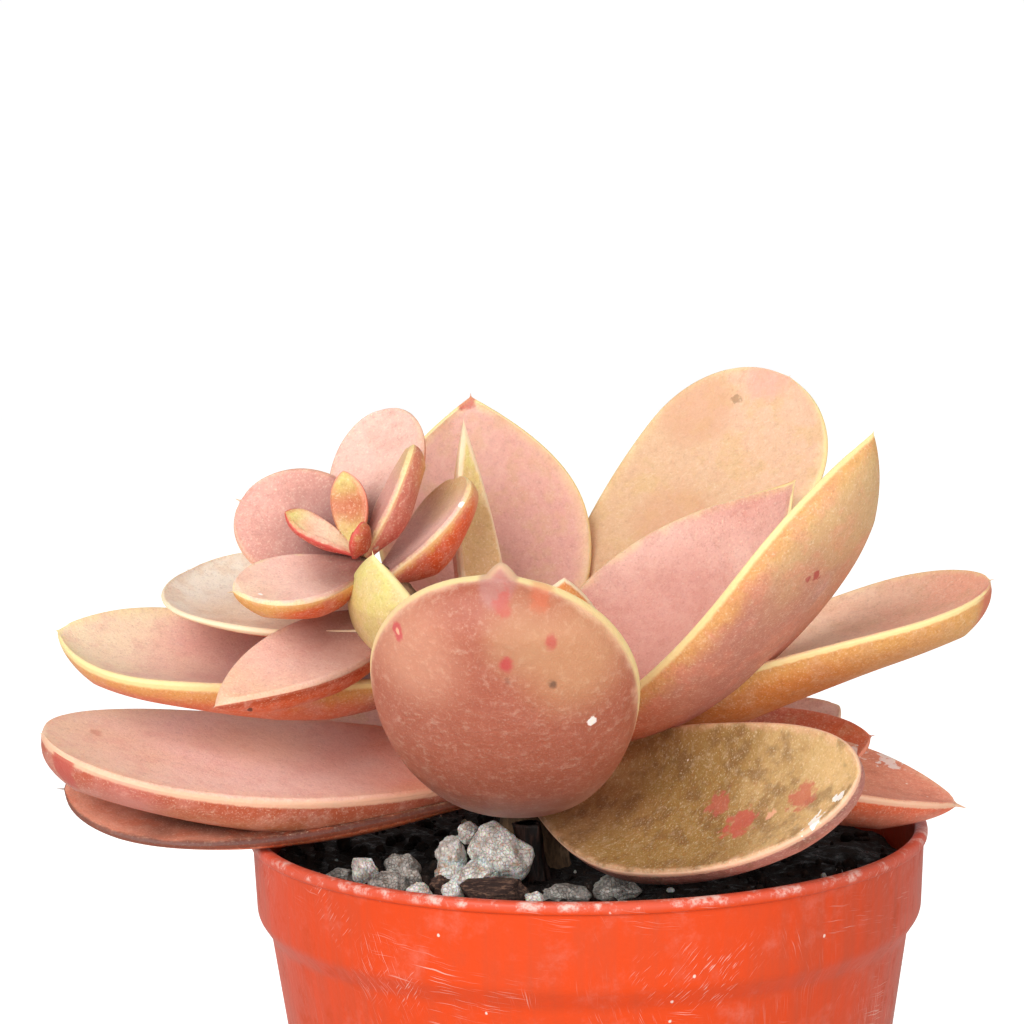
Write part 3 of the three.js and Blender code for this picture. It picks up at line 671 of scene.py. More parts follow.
def smooth_line(points, steps):
    """A curve through the points with even speed: cubic arcs between neighbours whose ends take the
    slope from the point before to the point after, then spaced evenly by length."""
    knots = np.array(points, float)
    before = np.concatenate([2 * knots[:1] - knots[1:2], knots, 2 * knots[-1:] - knots[-2:-1]])
    share = np.linspace(0, 1, 24, endpoint=False)[None, :, None]
    a, b, c, d = (before[k : len(before) - 3 + k, None] for k in range(4))
    square, cube = 2 * a - 5 * b + 4 * c - d, 3 * b - a - 3 * c + d
    curve = 0.5 * (2 * b + (c - a) * share + square * share**2 + cube * share**3)
    curve = np.concatenate([curve.reshape(-1, 3), knots[-1:]])
    length = np.concatenate([[0], np.cumsum(np.linalg.norm(np.diff(curve, axis=0), axis=1))])
    even = np.linspace(0, length[-1], steps)
    return np.stack([np.interp(even, length, curve[:, k]) for k in range(3)], -1)


def stem_rings():
    """A tapered rod along the line with round ends. Leaf scars stand out as low rings that wind up
    it, and a cloud roughens the bark."""
    line = smooth_line(STEM_LINE, STEM_RINGS)
    up = np.linspace(0.002, 0.998, STEM_RINGS)[:, None]
    ahead = np.gradient(line, axis=0)
    ahead /= np.linalg.norm(ahead, axis=1, keepdims=True)
    side = np.cross((0.0, 1.0, 0.0), ahead)
    side /= np.linalg.norm(side, axis=1, keepdims=True)
    front = np.cross(ahead, side)
    turn = 2 * math.pi * np.arange(STEM_COLUMNS)[None] / STEM_COLUMNS
    radius = STEM_FOOT_RADIUS + (STEM_CROWN_RADIUS - STEM_FOOT_RADIUS) * up
    radius = radius * np.minimum(1, np.sin(math.pi * up) * 4) ** 0.5
    scars = np.maximum(0, np.sin(2 * math.pi * up * STEM_SCARS + turn)) ** 6
    radius = radius * (0.95 + 0.05 * scars)
    out = np.cos(turn)[..., None] * side[:, None] + np.sin(turn)[..., None] * front[:, None]
    return (line[:, None] + radius[..., None] * out) * MM


def woody():
    """Corky stem skin: brown, with paler scars and with cracks that run along it, painted in a half-bright
    copy of the brown as their shade.
    """
    material, tree, shader = new_material("woody_stem", Roughness=0.85)
    where = millimetres(tree)
    cracks = noise(tree, stretched(tree, where, (2.0, 2.0, 0.5)), 0.9, 4.0, 0.65)
    # Painted shade: the cracks, which are also the low parts of the bump, take a half-bright copy of the stem
    # brown.
    colour = mixed(tree, between(tree, cracks, 0.4, 0.7), paint(STEM_BROWN, 0.5), paint(STEM_BROWN))
    scars = between(tree, noise(tree, where, 1.5, 2.0), 0.55, 0.7)
    colour = tinted(tree, colour, scars, STEM_SCAR, 0.6)
    tree.links.new(colour, shader.inputs["Base Color"])
    bump(tree, shader, cracks, 0.3 * MM)
    return material


settle(skin("woody_stem", [stem_rings()]), woody(), "woody_stem", "stem")

# Leaves
# Fleshy leaves in one rosette, each on a narrow foot that clasps the stem: flat or slightly dished
# above, round below, with a thin pale rim and a small point. Their skin is matt, finely grained and
# flushed rose over olive, and the sun has turned the undersides orange near the rim.
UP = (0.0, 0.0, 1.0)
SHOULDER = (-0.15, -0.2, 0.97)
CROWN = (-0.25, -0.38, 0.89)
LEAF_RINGS = 96
LEAF_COLUMNS = 96
PLAIN_LEAF = {"faces": UP, "roll": 0, "twist": 0, "sag": 0.1, "sway": 0, "dish": 0.12, "widest": 0.6}
PLAIN_LEAF |= {"blunt": 0.5, "neck": 0.35, "spine": 0.06, "taper": 1.0, "point": 0.0, "furrow": 0.0}
# In millimetres: how far the rim steps up and over what width, the bead along it, the broad
# swellings of the skin, and the gap, reach and fading of a leaf that presses on the one under it
RIM_STEP = 0.35
RIM_ROUNDING = 0.22
BEAD_HEIGHT = 0.09
BEAD_INSET = 0.28
BEAD_WIDTH = 0.2
SWELL_HEIGHT = 0.07
SWELL_SIZE = 4.5
SWELL_SEED = 5
PRESS_GAP = 0.1
PRESS_REACH = 7
PRESS_FADE = 1.2
SPINE_START = 0.91
TONES = {
    "rose": "#e2a596",
    "pale rose": "#f0c0b0",
    "dusty rose": "#cf8f80",
    "mauve": "#a96a5e",
    "taupe": "#b87e70",
    "plum": "#8a4a40",
    "salmon": "#ee9478",
    "peach": "#f0bd9c",
    "pale peach": "#f3cdb0",
    "pale pink": "#f8d0c4",
    "pale salmon": "#f2ab8e",
    "old rose": "#c98470",
    "dusty terracotta": "#bb6a54",
    "wheat": "#ddb67c",
    "flame": "#e4602c",
    "clay": "#c87850",
    "khaki": "#deb48c",
    "pale khaki": "#e8bc9c",
    "bright peach": "#ffb684",
    "light olive": "#bb8c5c",
    "rosy clay": "#e0a48e",
    "ember": "#b8441e",
    "muted clay": "#ae6048",
    "muted olive": "#9c7840",
    "buff": "#dcab8a",
    "pink": "#e8b0a2",
    "pale cream": "#f8e6d4",
    "dusty mauve": "#a26a5c",
    "umber": "#5c2c20",
    "cream": "#f8dcb8",
    "yellow cream": "#f9dc9c",
    "lime": "#dfd07c",
    "tan": "#d8a67c",
    "olive tan": "#c6935c",
    "olive": "#9a7440",
    "dark olive": "#6e4a2c",
    "gold": "#e0a35a",
    "amber": "#d9843f",
    "orange": "#dd6b3c",
    "brick": "#b8502f",
    "brown": "#8a4a30",
    "terracotta": "#c8705a",
    "red": "#cf4f45",
}


def leaf_width(leaf, along):
    """Half the leaf's width as a share of its widest half: a sine from the neck out to the widest
    place, then a rounded tip, joined by their cubes to a small spine that runs out past the tip."""
    body = np.minimum(along, 0.9995)
    rise = np.sin(np.clip(body / leaf["widest"], 0, 1) * math.pi / 2) ** 1.2
    opening = leaf["neck"] + (1 - leaf["neck"]) * rise
    closing = (1 - np.clip((body - leaf["widest"]) / (1 - leaf["widest"]), 0, 1) ** 2.2) ** leaf["blunt"]
    blade = np.where(body < leaf["widest"], opening, closing)
    end = 1 + leaf["point"] / leaf["long"]
    spine = leaf["spine"] * np.clip((end - along) / (end - SPINE_START), 0, 1) ** leaf["taper"]
    return np.cbrt(blade**3 * (along < 1) + spine**3)


def leaf_depth(leaf, along):
    """Depth of the rounded underside in millimetres: it swells from the foot, thins towards the tip
    and vanishes with the width."""
    swelling = 0.55 + 0.45 * np.sin(np.minimum(along / 0.45, 1) * math.pi / 2)
    thinning = 1 - 0.35 * np.clip((along - 0.45) / 0.55, 0, 1)
    return leaf["thick"] * swelling * thinning * np.minimum(1, (leaf_width(leaf, along) / 0.75) ** 0.8)


def leaf_frame(leaf):
    """Unit vectors ahead, to its side and out of its upper face: ahead from the heading and climb, and
    the face turned by the roll from the way the whorl faces."""
    heading, climb, roll = (math.radians(leaf[key]) for key in ("heading", "climb", "roll"))
    level = math.cos(climb)
    ahead = np.array([math.cos(heading) * level, math.sin(heading) * level, math.sin(climb)])
    face = np.array(leaf["faces"]) - np.dot(leaf["faces"], ahead) * ahead
    face /= np.linalg.norm(face)
    side = np.cross(ahead, face)
    face, side = math.cos(roll) * face + math.sin(roll) * side, math.cos(roll) * side - math.sin(roll) * face
    return ahead, side, face


def pressed(points, over):
    """Points in millimetres pushed down along the face of the leaf that lies over them, wherever they
    would rise above the middle of its body. Outside its outline the push fades away as a bell curve."""
    ahead, side, up = leaf_frame(over)
    offset = points - np.array(over["root"])
    along = np.clip(offset @ ahead / over["long"], 0.02, 1)
    arch = 4 * along * (1 - along) * over["long"]
    left = -(offset @ side) + over["sway"] * arch
    rise = offset @ up + over["sag"] * arch
    twist = np.radians(over["twist"] * (along - 0.5))
    across = -left * np.cos(twist) - rise * np.sin(twist)
    height = -left * np.sin(twist) + rise * np.cos(twist)
    share, deep = leaf_width(over, along), leaf_depth(over, along)
    half = 0.5 * over["wide"] * share + 0.01
    dome = np.clip(1 - (across / half) ** 2, 0, 1)
    middle = PRESS_GAP - 0.5 * over["dish"] * over["wide"] * share * dome - 0.5 * deep * dome**0.45
    outside = np.maximum(np.abs(across) - half, 0) + np.maximum(offset @ ahead - over["long"], 0)
    near = np.exp(-((outside / PRESS_FADE) ** 2)) * (height < middle + PRESS_REACH) * (offset @ ahead > 0)
    push = np.maximum(height - middle, 0) * near
    return points - push[..., None] * up


def leaf_rings(leaf, uppers=()):
    """Rings of a leaf in metres, with their share along it, signed millimetres across it and signed
    millimetres from the rim. Each ring is flat and dished above, with a raised rim, and rounded
    below; the rings stand on a midrib that sags and sways as a parabola and are twisted about it."""
    steps = np.linspace(0, 1, LEAF_RINGS)
    reach = 1 + leaf["point"] / leaf["long"]
    along = (1 - (1 - steps * 0.9985) ** 1.35)[:, None] * reach
    turn = -2 * math.pi * (np.arange(LEAF_COLUMNS) + 0.5)[None] / LEAF_COLUMNS
    share, deep = leaf_width(leaf, along), leaf_depth(leaf, along)
    half = 0.5 * leaf["wide"] * share
    across, above = half * np.cos(turn), np.sin(turn)
    inset = half * (1 - np.abs(np.cos(turn)))
    lip = np.minimum(RIM_STEP, 0.3 * deep) * (1 - np.exp(-inset / RIM_ROUNDING))
    lip = lip + BEAD_HEIGHT * np.exp(-(((inset - BEAD_INSET) / BEAD_WIDTH) ** 2)) * (half > 1)
    hollow = leaf["dish"] * leaf["wide"] * share * above**2
    hollow += leaf["furrow"] * np.exp(-((across / (0.16 * leaf["wide"])) ** 2)) * np.clip(1.15 - along, 0, 1)
    sharpness = 0.85 + 0.35 * np.clip((along - 0.55) / 0.4, 0, 1)
    under = deep * np.abs(above) ** sharpness
    height = np.where(above > 0, lip - hollow, -under)
    arch = 4 * along * (1 - along) * leaf["long"]
    slope = 4 * (1 - 2 * along)
    middle = np.stack([along * leaf["long"], -leaf["sway"] * arch, -leaf["sag"] * arch], -1)
    tangent = np.stack([1 + 0 * slope, -leaf["sway"] * slope, -leaf["sag"] * slope], -1)
    tangent /= np.linalg.norm(tangent, axis=-1, keepdims=True)
    twist = np.radians(leaf["twist"] * (along - 0.5))
    face = np.stack([0 * twist, -np.sin(twist), np.cos(twist)], -1)
    face = face - (face * tangent).sum(-1, keepdims=True) * tangent
    face /= np.linalg.norm(face, axis=-1, keepdims=True)
    right = np.cross(tangent, face)
    local = middle + across[..., None] * right + height[..., None] * face
    ahead, side, up = leaf_frame(leaf)
    points = np.array(leaf["root"]) + local[..., :1] * ahead - local[..., 1:2] * side + local[..., 2:] * up
    swell = SWELL_HEIGHT * cloud(points, SWELL_SIZE, SWELL_SEED) * np.minimum(1, inset / 1.5)
    points = points + swell[..., None] * up
    for upper in uppers:
        points = pressed(points, upper)
    side_steps = np.linalg.norm(points - np.roll(points, 1, axis=1), axis=-1)
    halfway = LEAF_COLUMNS // 2
    side_steps[:, [0, halfway]] /= 2
    below = np.cumsum(side_steps[:, :halfway], axis=1)
    over = np.cumsum(side_steps[:, halfway:], axis=1)
    below = np.minimum(below, below[:, ::-1])
    over = np.minimum(over, over[:, ::-1])
    rim = np.concatenate([-below, over], axis=1)
    return points * MM, np.broadcast_to(along, rim.shape), across, rim


TONE_LABELS = ("Face base", "Face", "Face tip", "Under base", "Under", "Under tip", "Rim", "Band", "Fleck")
SKIN_LIGHT = "#ffe6cc"
SKIN_DARK = "#8a3f34"
SKIN_GRAIN_HIGHLIGHT = "#fff0d2"
SKIN_PIT_SHADE = "#7a3a2c"
DUST_WHITE = "#fff4ea"


def nudged(tree, value, clouds, amount):
    """The value raised and lowered by clouds: plus an amount times their distance from one half."""
    return maths(tree, "MULTIPLY_ADD", maths(tree, "SUBTRACT", clouds, 0.5), amount, value)


def leaf_skin():
    """The colour of a leaf from its share along and millimetres from the rim: base, middle and tip
    tones above and below, mottled by clouds; a pale rim line with a soft glow inside it; an orange
    band under the rim; pale grains painted as highlights on the raised grain, dark pits painted as
    shade where it sinks, and dust."""
    inputs = {label: ("Color", None) for label in TONE_LABELS} | {"Where": ("Vector", None)}
    numbers = {"Along": 0.0, "From rim": 0.0, "Glow": 1.2, "Band width": 2.0, "Flecks": 0.3}
    numbers |= {"Dust": 0.1, "Line": 0.9, "Line width": 0.4, "Grain": 1.0}
    inputs |= {label: ("Float", value) for label, value in numbers.items()}
    outputs = {"Color": "Color", "Roughness": "Float", "Height": "Float"}
    group, given, result = new_group("leaf_skin", inputs, outputs)
    where = given["Where"]
    broad = noise(group, where, 5.0, 2.0, 0.5)
    cloudy = noise(group, where, 2.0, 3.0, 0.6)
    fine = noise(group, where, 0.6, 3.0, 0.65)
    grain = noise(group, where, 0.17, 2.0, 0.6)
    shift = nudged(group, given["Along"], broad, 0.4)
    early, late = between(group, shift, 0.05, 0.5), between(group, shift, 0.55, 0.98)
    upper = between(group, given["From rim"], -0.04, 0.04)
    above = mixed(group, late, mixed(group, early, given["Face base"], given["Face"]), given["Face tip"])
    below = mixed(group, late, mixed(group, early, given["Under base"], given["Under"]), given["Under tip"])
    inset = maths(group, "ABSOLUTE", given["From rim"])
    ragged = nudged(group, inset, cloudy, 2.2)
    inner = maths(group, "MULTIPLY", given["Band width"], 0.15)
    band = between(group, ragged, given["Band width"], inner)
    below = mixed(group, maths(group, "MULTIPLY", band, 0.85), below, given["Band"])
    glow = maths(group, "MULTIPLY", between(group, ragged, given["Glow"], 0.0), 0.55)
    above = mixed(group, glow, above, given["Rim"])
    colour = mixed(group, upper, below, above)
    fleck = maths(group, "MULTIPLY", between(group, cloudy, 0.46, 0.66), given["Flecks"])
    colour = mixed(group, fleck, colour, given["Fleck"])
    colour = tinted(group, colour, between(group, fine, 0.5, 0.72), SKIN_LIGHT, 0.14)
    colour = tinted(group, colour, between(group, fine, 0.5, 0.3), SKIN_DARK, 0.12)
    # Painted light on the fine grain, which is also the bump: paler where it rises, as highlights, and darker
    # where it sinks into pits, as shade.
    pale, deep = (maths(group, "MULTIPLY", given["Grain"], share) for share in (0.34, 0.22))
    colour = tinted(group, colour, between(group, grain, 0.54, 0.74), SKIN_GRAIN_HIGHLIGHT, pale)
    colour = tinted(group, colour, between(group, grain, 0.44, 0.28), SKIN_PIT_SHADE, deep)
    edge = nudged(group, inset, fine, 0.3)
    outer, inner = (maths(group, "MULTIPLY", given["Line width"], share) for share in (1.35, 0.6))
    line = between(group, edge, outer, inner)
    colour = mixed(group, maths(group, "MULTIPLY", line, given["Line"]), colour, given["Rim"])
    patches = between(group, noise(group, where, 4.0, 3.0), 0.45, 0.6)
    dust = maths(group, "MULTIPLY", specks(group, where, 0.13, 1.3, 0.55), patches)
    dust = maths(group, "MULTIPLY", dust, given["Dust"])
    colour = mixed(group, dust, colour, paint(DUST_WHITE))
    group.links.new(colour, result["Color"])
    rough = maths(group, "MULTIPLY_ADD", fine, 0.25, 0.4)
    group.links.new(maths(group, "ADD", rough, maths(group, "MULTIPLY", dust, 0.3)), result["Roughness"])
    height = maths(group, "MULTIPLY_ADD", grain, 0.35, maths(group, "MULTIPLY", fine, 0.65))
    group.links.new(height, result["Height"])
    return group


def spot_group():
    """A round blot on a leaf: 1 inside its size around a place given along and across the leaf in
    millimetres on one face, fading over its softness, with a ragged edge."""
    places = ("Along", "Across", "From rim", "At along", "At across", "Face")
    inputs = {label: ("Float", 0.0) for label in places} | {"Where": ("Vector", None)}
    inputs |= {"Size": ("Float", 0.5), "Softness": ("Float", 0.2), "Ragged": ("Float", 0.3)}
    group, given, result = new_group("leaf_spot", inputs, {"Mask": "Float"})
    forward = maths(group, "SUBTRACT", given["Along"], given["At along"])
    sideways = maths(group, "SUBTRACT", given["Across"], given["At across"])
    squares = [maths(group, "MULTIPLY", way, way) for way in (forward, sideways)]
    away = maths(group, "SQRT", maths(group, "ADD", *squares))
    clouds = noise(group, given["Where"], 0.625, 3.0)
    away = nudged(group, away, clouds, maths(group, "MULTIPLY", given["Ragged"], 4.0))
    inside = between(group, away, maths(group, "ADD", given["Size"], given["Softness"]), given["Size"])
    same = maths(group, "GREATER_THAN", maths(group, "MULTIPLY", given["From rim"], given["Face"]), 0.0)
    group.links.new(maths(group, "MULTIPLY", inside, same), result["Mask"])
    return group


LEAF_SKIN = leaf_skin()
LEAF_SPOT = spot_group()
LEAF_LAYERS = ("along", "across", "rim", "length")


def leaf_finish(
    name, tones, spots=(), glow=1.2, band=2.0, flecks=0.3, dust=0.1, line=0.9, thin=0.4, grain=1.0
):
    """One leaf's material: its nine tones in the leaf skin, and then its own blots and marks. A spot
    is its place (millimetres along and across, and 1 for the face or -1 for the underside), its size,
    softness and raggedness, and its colour and strength."""
    constants = {"Subsurface_Weight": 0.18, "Subsurface_Scale": 0.002, "Subsurface_Radius": (1.0, 0.35, 0.2)}
    material, tree, shader = new_material(name, **constants)
    where = millimetres(tree)
    share, across, rim, along = (
        add(tree, "ShaderNodeAttribute", attribute_name=label).outputs["Fac"] for label in LEAF_LAYERS
    )
    values = {label: paint(TONES[tone]) for label, tone in zip(TONE_LABELS, tones)}
    values |= {"Where": where, "Along": share, "From rim": rim, "Glow": glow, "Band width": band}
    values |= {"Flecks": flecks, "Dust": dust, "Line": line, "Line width": thin, "Grain": grain}
    skin_out = place(tree, LEAF_SKIN, values)
    colour = skin_out["Color"]
    here = {"Along": along, "Across": across, "From rim": rim, "Where": where}
    for (forward, sideways, face), size, soft, ragged, code, strength in spots:
        at = here | {"At along": forward, "At across": sideways, "Face": face}
        mask = place(tree, LEAF_SPOT, at | {"Size": size, "Softness": soft, "Ragged": ragged})["Mask"]
        colour = tinted(tree, colour, mask, code, strength)
    tree.links.new(colour, shader.inputs["Base Color"])
    tree.links.new(skin_out["Roughness"], shader.inputs["Roughness"])
    bump(tree, shader, skin_out["Height"], 0.09 * MM)
    return material


GROWN = {}


def grow(name, node, slot, shape, tones, under=(), **finish):
    """Makes one leaf over its CAD node: its mesh with the four attributes and its material. Its
    blade is pressed down where it lies under leaves that were grown before it."""
    leaf = PLAIN_LEAF | shape
    GROWN[name] = leaf
    points, along, across, rim = leaf_rings(leaf, [GROWN[upper] for upper in under])
    piece = skin(name, [points])
    for label, values in zip(LEAF_LAYERS, (along, across, rim, along * leaf["long"])):
        poles = [values[0].mean(), values[-1].mean()]
        layer = piece.data.attributes.new(label, "FLOAT", "POINT")
        layer.data.foreach_set("value", np.concatenate([values.ravel(), poles]).astype(np.float32))
    settle(piece, leaf_finish(name, tones, **finish), slot, node)

# Low leaves on the left
# The two oldest leaves on this side lie over the rim of the pot: one thick and blunt, red-brown and
# dusty, and a thinner one tucked under it whose upper face hardly shows. The thinner one is painted
# dark umber and olive over its body as the shade of the leaf above it, with only its tips bright.
grow(
    "low_left_leaf",
    "leaf_left_low",
    "old_leaf",
    dict(root=(-6.4, -1, 55.2), heading=192, climb=6, roll=-14, long=37.2, wide=17.7, thick=5.2, sag=0.03)
    | dict(twist=15, dish=0.02, widest=0.71, blunt=0.45, point=0.3),
    ("salmon", "pale pink", "pale peach", "rosy clay", "clay", "terracotta", "peach", "brick", "rose"),
    glow=2.4,
    band=3.0,
    dust=0.5,
    spots=[
        ((35.4, -4.9, -1), 0.9, 0.6, 0.3, "#c04a3c", 0.8),
        ((33.0, 2.0, 1), 0.3, 0.5, 0.3, "#c06a54", 0.5),
        ((9.0, 0.0, 1), 3.0, 8.0, 0.3, "#b05a48", 0.4),
        ((20.0, 3.0, 1), 1.5, 5.0, 0.5, "#e0b080", 0.35),
        ((30.0, -6.0, -1), 0.5, 4.0, 0.3, "#d88a82", 0.6),
    ],
    thin=0.3,
)
grow(
    "lowest_left_leaf",
    "leaf_left_lowest",
    "old_leaf",
    dict(root=(-6, -0.6, 53), heading=187.5, climb=1.5, roll=-11, long=36, wide=19, thick=2.1, sag=0.02)
    | dict(sway=0.015, twist=-18, dish=0.04, blunt=0.47, point=0.8),
    # Painted shade: dark olive and umber over the body, with bright peach and salmon only at the tips.
    ("dark olive", "umber", "pale salmon", "dark olive", "umber", "bright peach")
    + ("umber", "orange", "orange"),
    glow=0.6,
    line=0.8,
    dust=0.2,
)

# Front leaf
# The leaf that points at the viewer and droops, so its round underside and blunt end show, with the
# small point as a reddish nipple on the upper rim. It has red spots, dark specks and a white grain.
grow(
    "front_leaf",
    "leaf_front",
    "old_leaf",
    dict(root=(-5, -2.6, 54.8), heading=-92, climb=39, roll=-4, long=29, wide=19.7, thick=5.6, sag=0.135)
    | dict(twist=-3, dish=0.22, widest=0.69, blunt=0.45, point=1.0, spine=0.26, taper=0.6),
    ("dusty rose", "rose", "rose", "pale rose", "muted clay", "muted clay")
    + ("yellow cream", "peach", "old rose"),
    band=1.6,
    flecks=0.15,
    thin=0.7,
    grain=0.35,
    spots=[
        ((25.0, -5.5, -1), 1.2, 4.2, 0.15, "#dcb07c", 0.4),
        ((24.5, 6.0, -1), 1.0, 4.2, 0.15, "#eab090", 0.4),
        ((26.5, -1.5, -1), 0.8, 2.6, 0.15, "#c99a72", 0.5),
        ((29.6, 0.2, -1), 1.2, 0.6, 0.05, "#b88078", 0.65),
        ((29.9, 0.2, 1), 1.2, 0.6, 0.05, "#b88078", 0.65),
        ((28.2, -0.4, -1), 0.35, 0.5, 0.3, "#c24a40", 0.6),
        ((28.6, -3.0, -1), 0.3, 0.8, 0.3, "#e0633c", 0.4),
        ((25.4, 7.3, -1), 0.34, 0.22, 0.15, "#c8404a", 0.75),
        ((25.4, 7.3, -1), 0.08, 0.14, 0.1, "#f0b090", 0.9),
        ((25.0, -0.8, -1), 0.2, 0.5, 0.15, "#c0303c", 0.75),
        ((26.3, -3.9, -1), 0.15, 0.45, 0.15, "#c0303c", 0.6),
        ((23.5, -4.0, -1), 0.15, 0.3, 0.15, "#6a4a38", 0.8),
        ((23.8, -0.9, -1), 0.05, 0.3, 0.15, "#7a4a38", 0.6),
        ((20.2, -6.7, -1), 0.3, 0.1, 0.15, "#fff6ee", 0.95),
    ],
)

# Front right leaf
# A broad old leaf that lies across the rim with its face to the viewer, olive with a brown foot and
# red blotches where the sun has burnt it, and flecked with white dust.
grow(
    "front_right_leaf",
    "leaf_front_right",
    "old_leaf",
    dict(root=(-3.8, -2.2, 54.4), heading=-47, climb=8, roll=47, long=34, wide=13.6, thick=5.2, sag=0)
    | dict(sway=0.07, twist=12, widest=0.47, blunt=0.49),
    ("light olive", "muted olive", "wheat", "brown", "mauve", "terracotta", "peach", "mauve", "dark olive"),
    glow=1.0,
    flecks=0.5,
    dust=0.7,
    spots=[
        ((23.4, 1.8, 1), 0.9, 0.7, 0.7, "#c4514a", 0.75),
        ((28.7, 0.5, 1), 0.8, 0.6, 0.7, "#c4514a", 0.65),
        ((20.4, -0.2, 1), 0.7, 0.6, 0.7, "#b8504a", 0.65),
        ((26.0, 1.5, 1), 0.3, 0.3, 0.5, "#f0b090", 0.8),
        ((30.9, 3.4, 1), 0.5, 0.2, 0.9, "#fffaf4", 0.9),
        ((32.4, 1.6, 1), 0.25, 0.1, 0.9, "#fffaf4", 0.9),
    ],
    thin=0.25,
)

# Small front leaves
# A short pointed leaf beside the crown, yellow-green with a broad cream rim, and a hidden one of
# the same whorl behind the front leaf.
grow(
    "small_front_leaf",
    "leaf_front_small",
    "middle_leaf",
    dict(root=(-7.4, -3.8, 60.6), heading=-134, climb=46, roll=-7, faces=SHOULDER, long=17.7, wide=12.7)
    | dict(thick=3.1, sag=0.11, twist=-6, dish=0.11, widest=0.57, blunt=0.93, point=0.4),
    ("rose", "tan", "lime", "rose", "wheat", "lime", "yellow cream", "lime", "pale khaki"),
    glow=2.0,
    band=2.4,
    thin=0.45,
)
grow(
    "inner_front_leaf",
    "leaf_front_inner",
    "middle_leaf",
    dict(root=(-4.6, -2.4, 58.2), heading=-76, climb=46, long=18.7, wide=8, thick=2.2, sag=0.08)
    | dict(dish=0.1, blunt=0.9),
    ("rose", "rose", "tan", "salmon", "salmon", "gold", "cream", "amber", "tan"),
)

# Tall leaves on the right
# Three middle-aged leaves that stand up behind the front ones: one seen on its orange underside, one
# on its rosy furrowed face, and a wide pale one at the back.
grow(
    "tall_front_right_leaf",
    "leaf_front_right_tall",
    "middle_leaf",
    dict(root=(-4.4, -2.6, 56.4), heading=-24.4, climb=42, roll=-6, long=38.5, wide=16.3, thick=3.6)
    | dict(sway=-0.01, twist=-10, dish=0.21, widest=0.65, blunt=1, point=0.3),
    ("rose", "rose", "gold", "flame", "old rose", "wheat", "yellow cream", "gold", "salmon"),
    band=2.6,
    spots=[
        ((28.3, 2.2, -1), 0.35, 0.25, 0.4, "#b03a38", 0.8),
        ((28.0, 2.9, -1), 0.2, 0.15, 0.4, "#b03a38", 0.7),
    ],
)
grow(
    "tall_right_leaf",
    "leaf_right_tall",
    "middle_leaf",
    dict(root=(-5, -0.6, 59.4), heading=10.5, climb=38, roll=38, long=29, wide=16.8, thick=3.6)
    | dict(twist=-12, dish=0.1, widest=0.48, blunt=1.2, furrow=0.5),
    ("terracotta", "pale rose", "rose", "brick", "orange", "orange", "yellow cream", "orange", "dusty rose"),
    glow=1.4,
    thin=0.3,
    spots=[((13.0, 0.0, 1), 4.0, 6.0, 0.1, "#bb5f4e", 0.45)],
)
grow(
    "tall_back_right_leaf",
    "leaf_back_right_tall",
    "middle_leaf",
    dict(root=(-4, 1, 58), heading=33, climb=46, roll=27, long=37.7, wide=18, thick=3.3, sag=0.05)
    | dict(sway=-0.03, twist=-3, dish=0.02, widest=0.75, point=0.3),
    ("peach", "khaki", "pale khaki", "terracotta", "tan", "olive", "yellow cream", "amber", "wheat"),
    glow=1.6,
    flecks=0.45,
    under=("tall_right_leaf",),
    spots=[
        ((31.4, -5.5, 1), 2.2, 2.0, 0.5, "#d9a07c", 0.5),
        ((21.6, -0.8, 1), 2.6, 2.0, 0.5, "#d79a78", 0.4),
        ((37.0, -1.5, 1), 1.5, 1.4, 0.3, "#eaa79a", 0.5),
        ((33.8, -3.0, 1), 0.25, 0.2, 0.3, "#a8805c", 0.7),
    ],
    grain=0.6,
)

# Long leaf and low leaves on the right
# A long boat-shaped leaf with a golden underside, and under it the oldest leaves of this side, thick,
# reddish and dusty, the lowest ending in a drawn-out point over the rim.
grow(
    "long_right_leaf",
    "leaf_right_long",
    "old_leaf",
    dict(root=(-3.8, 0.2, 57), heading=-7, climb=19.4, roll=4, long=38.3, wide=16.2, thick=5.2, sag=-0.03)
    | dict(sway=0.025, twist=11, dish=0.14, widest=0.75, blunt=0.55, point=0.4),
    # Painted shade: the dark brown under base stands for the shade at the foot of the underside.
    ("pale peach", "pale peach", "pale salmon", "brown", "amber", "gold", "yellow cream", "gold", "tan"),
    under=("tall_right_leaf", "tall_front_right_leaf"),
    spots=[
        ((38.0, 2.0, -1), 1.6, 1.6, 0.3, "#cf5648", 0.7),
        ((37.6, 2.0, 1), 0.8, 0.8, 0.3, "#e0766a", 0.5),
        ((22.0, 1.0, -1), 0.22, 0.12, 0.4, "#4a2414", 0.9),
    ],
    thin=0.25,
)
grow(
    "low_right_leaf",
    "leaf_right_low",
    "old_leaf",
    dict(root=(-3.2, -0.2, 54.2), heading=-9, climb=-3.8, roll=3, long=33, wide=16.3, thick=5, sag=-0.08)
    | dict(twist=2, dish=0.08, widest=0.62, blunt=0.8, spine=0.12, point=0.8),
    ("brick", "clay", "salmon", "brick", "flame", "salmon", "peach", "flame", "brick"),
    dust=0.9,
    spots=[
        ((27.5, -5.5, 1), 0.8, 0.3, 1.0, "#f6e4dc", 0.8),
        ((24.5, -6.2, 1), 0.7, 0.3, 1.0, "#f6e4dc", 0.75),
        ((30.5, -1.5, -1), 1.2, 1.2, 0.4, "#d9534a", 0.5),
    ],
    thin=0.25,
)
